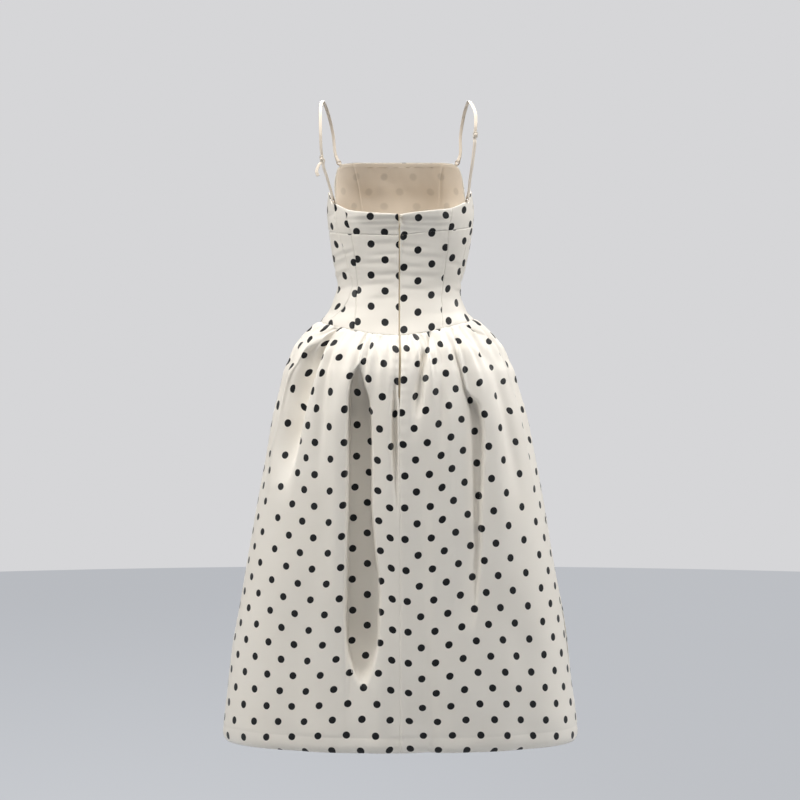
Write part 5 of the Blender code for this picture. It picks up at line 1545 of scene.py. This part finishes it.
# The nodes that keep their solid's shape: how a name starts, its finish and its edges' roundness.
HARDWARE = (
    ("ring_", RING_METAL, 0.0003),
    ("adjuster_", ZIP_METAL, 0.0003),
    ("zip_slider", ZIP_METAL, 0.0002),
    ("zip_pull", ZIP_METAL, 0.0002),
    ("zip_tape", TAPE_CLOTH, 0.0),
)


def finish_hardware():
    for name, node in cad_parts.items():
        for start, made, width in HARDWARE:
            if not name.startswith(start):
                continue
            for slot in node.material_slots:
                slot.material = made
            if width:
                joined = node.modifiers.new("welded corners", "WELD")
                joined.merge_threshold = 0.00001
                rounded = node.modifiers.new("rounded edges", "BEVEL")
                rounded.width = width
                rounded.segments = 3
                rounded.limit_method = "ANGLE"
                rounded.angle_limit = math.radians(35)


# ================================================================ camera, floor and light

CAMERA_DISTANCE, CAMERA_Z = 5.5, -0.274
FOCAL_PIXELS, FRAME_PIXELS, SENSOR = 2973.0, 800.0, 36.0
AIM_PIXELS = 150.0  # how far below the camera's own height the middle of the frame looks
LAMP_AIM = Vector((0.0, 0.0, -0.6))
FLOOR_Z, FLOOR_RADIUS = -1.50, 6.0
FLOOR_SIDES = 128
BLACK = (0.0, 0.0, 0.0)


def aimed(name, data, place, direction):
    """A camera or a lamp at a place, looking along a direction."""
    obj = linked(name, data)
    obj.location = place
    obj.rotation_euler = direction.to_track_quat("-Z", "Y").to_euler()
    return obj


def make_camera():
    data = bpy.data.cameras.new("camera")
    data.sensor_width = SENSOR
    data.lens = FOCAL_PIXELS / FRAME_PIXELS * SENSOR
    data.clip_end = 100.0
    drop = AIM_PIXELS / FOCAL_PIXELS * CAMERA_DISTANCE
    direction = Vector((0.0, -CAMERA_DISTANCE, -drop))
    place = (0.0, CAMERA_DISTANCE, CAMERA_Z)
    bpy.context.scene.camera = aimed("camera", data, place, direction)


def make_floor():
    angle = np.linspace(0, 2 * np.pi, FLOOR_SIDES, endpoint=False)
    height = np.full(FLOOR_SIDES, FLOOR_Z)
    ring = [FLOOR_RADIUS * np.cos(angle), FLOOR_RADIUS * np.sin(angle), height]
    mesh = bpy.data.meshes.new("floor")
    mesh.from_pydata(np.stack(ring, axis=1).tolist(), [], [list(range(FLOOR_SIDES))])
    # What the camera sees of the floor is painted light: it glows with its own colour, which on the
    # +X side grows brighter towards the camera and on the -X side stays an even tone with a random
    # drift. Other rays see a plain pale grey.
    finish = Finish("Pale floor with painted light", 0.75, Specular_IOR_Level=0.05)
    uneven = finish.unevenness(1.5)
    tone = finish.math("MULTIPLY", uneven["Tone"], 0.3)
    painted_light_near_share, painted_light_side_share = (
        finish.smooth_range(finish.vector("DOT_PRODUCT", finish.place(), along), low, high)
        for along, low, high in (((0.0, 1.0, 0.0), -5.5, 2.5), ((1.0, 0.0, 0.0), -0.8, 0.8))
    )
    painted_light_right = finish.mixed(painted_light_near_share, (0.480, 0.495, 0.525), (0.600, 0.618, 0.652))
    painted_light_left = finish.mixed(tone, (0.505, 0.520, 0.550), (0.495, 0.510, 0.540))
    painted_floor_light = finish.mixed(painted_light_side_share, painted_light_left, painted_light_right)
    # Camera rays see a black base and the painted light as emission.
    seen = finish.add("ShaderNodeLightPath", {})["Is Camera Ray"]
    finish.shader(
        Base_Color=finish.mixed(seen, (0.42, 0.44, 0.47), (0.004, 0.004, 0.004)),
        Emission_Color=finish.mixed(seen, BLACK, painted_floor_light),
        Emission_Strength=1.0,
    )
    mesh.materials.append(finish.material)
    linked("floor", mesh)


Lamp = namedtuple("Lamp", "name place size power colour")
LAMPS = rows_of(
    Lamp,
    ("left_light", (3.53, 2.04, 1.30), 1.4, 60.0, (1.0, 0.985, 0.96)),
    ("left_high_light", (3.43, 0.35, 2.29), 1.4, 62.0, (1.0, 0.985, 0.96)),
    ("right_light", (-3.53, 2.04, 1.30), 1.4, 62.0, (0.985, 0.99, 1.0)),
    ("right_high_light", (-3.30, -1.20, 2.10), 1.6, 84.0, (1.0, 0.99, 0.975)),
    ("ceiling_light", (0.0, 0.55, 2.30), 2.0, 86.0, (1.0, 0.99, 0.97)),
    ("front_light", (0.3, -3.60, 1.60), 2.0, 85.0, (1.0, 0.99, 0.975)),
)
BACKDROP = (0.672, 0.672, 0.686)
ROOM_LIGHT = 0.07  # the room's own light on the dress, next to the brightness of its walls


def make_light():
    for lamp in LAMPS:
        data = bpy.data.lights.new(lamp.name, "AREA")
        data.shape, data.size = "DISK", lamp.size
        data.energy, data.color = lamp.power, lamp.colour
        aimed(lamp.name, data, lamp.place, LAMP_AIM - Vector(lamp.place))
    world = bpy.data.worlds.new("studio")
    world.use_nodes = True
    nodes = Nodes(world.node_tree)
    seen = nodes.add("ShaderNodeLightPath", {})["Is Camera Ray"]
    strength = nodes.smooth_range(seen, 0.0, 1.0, ROOM_LIGHT, 1.0)
    background = world.node_tree.nodes["Background"].inputs
    nodes.fill(background, {"Color": (*BACKDROP, 1.0), "Strength": strength})
    bpy.context.scene.world = world
    bpy.context.scene.view_settings.view_transform = "Standard"


# ================================================================ build

make_camera()
make_bodice()
make_lining()
make_skirt()
for side_name, strap_side in STRAPS.items():
    make_strap(side_name, strap_side)
finish_hardware()
make_floor()
make_light()
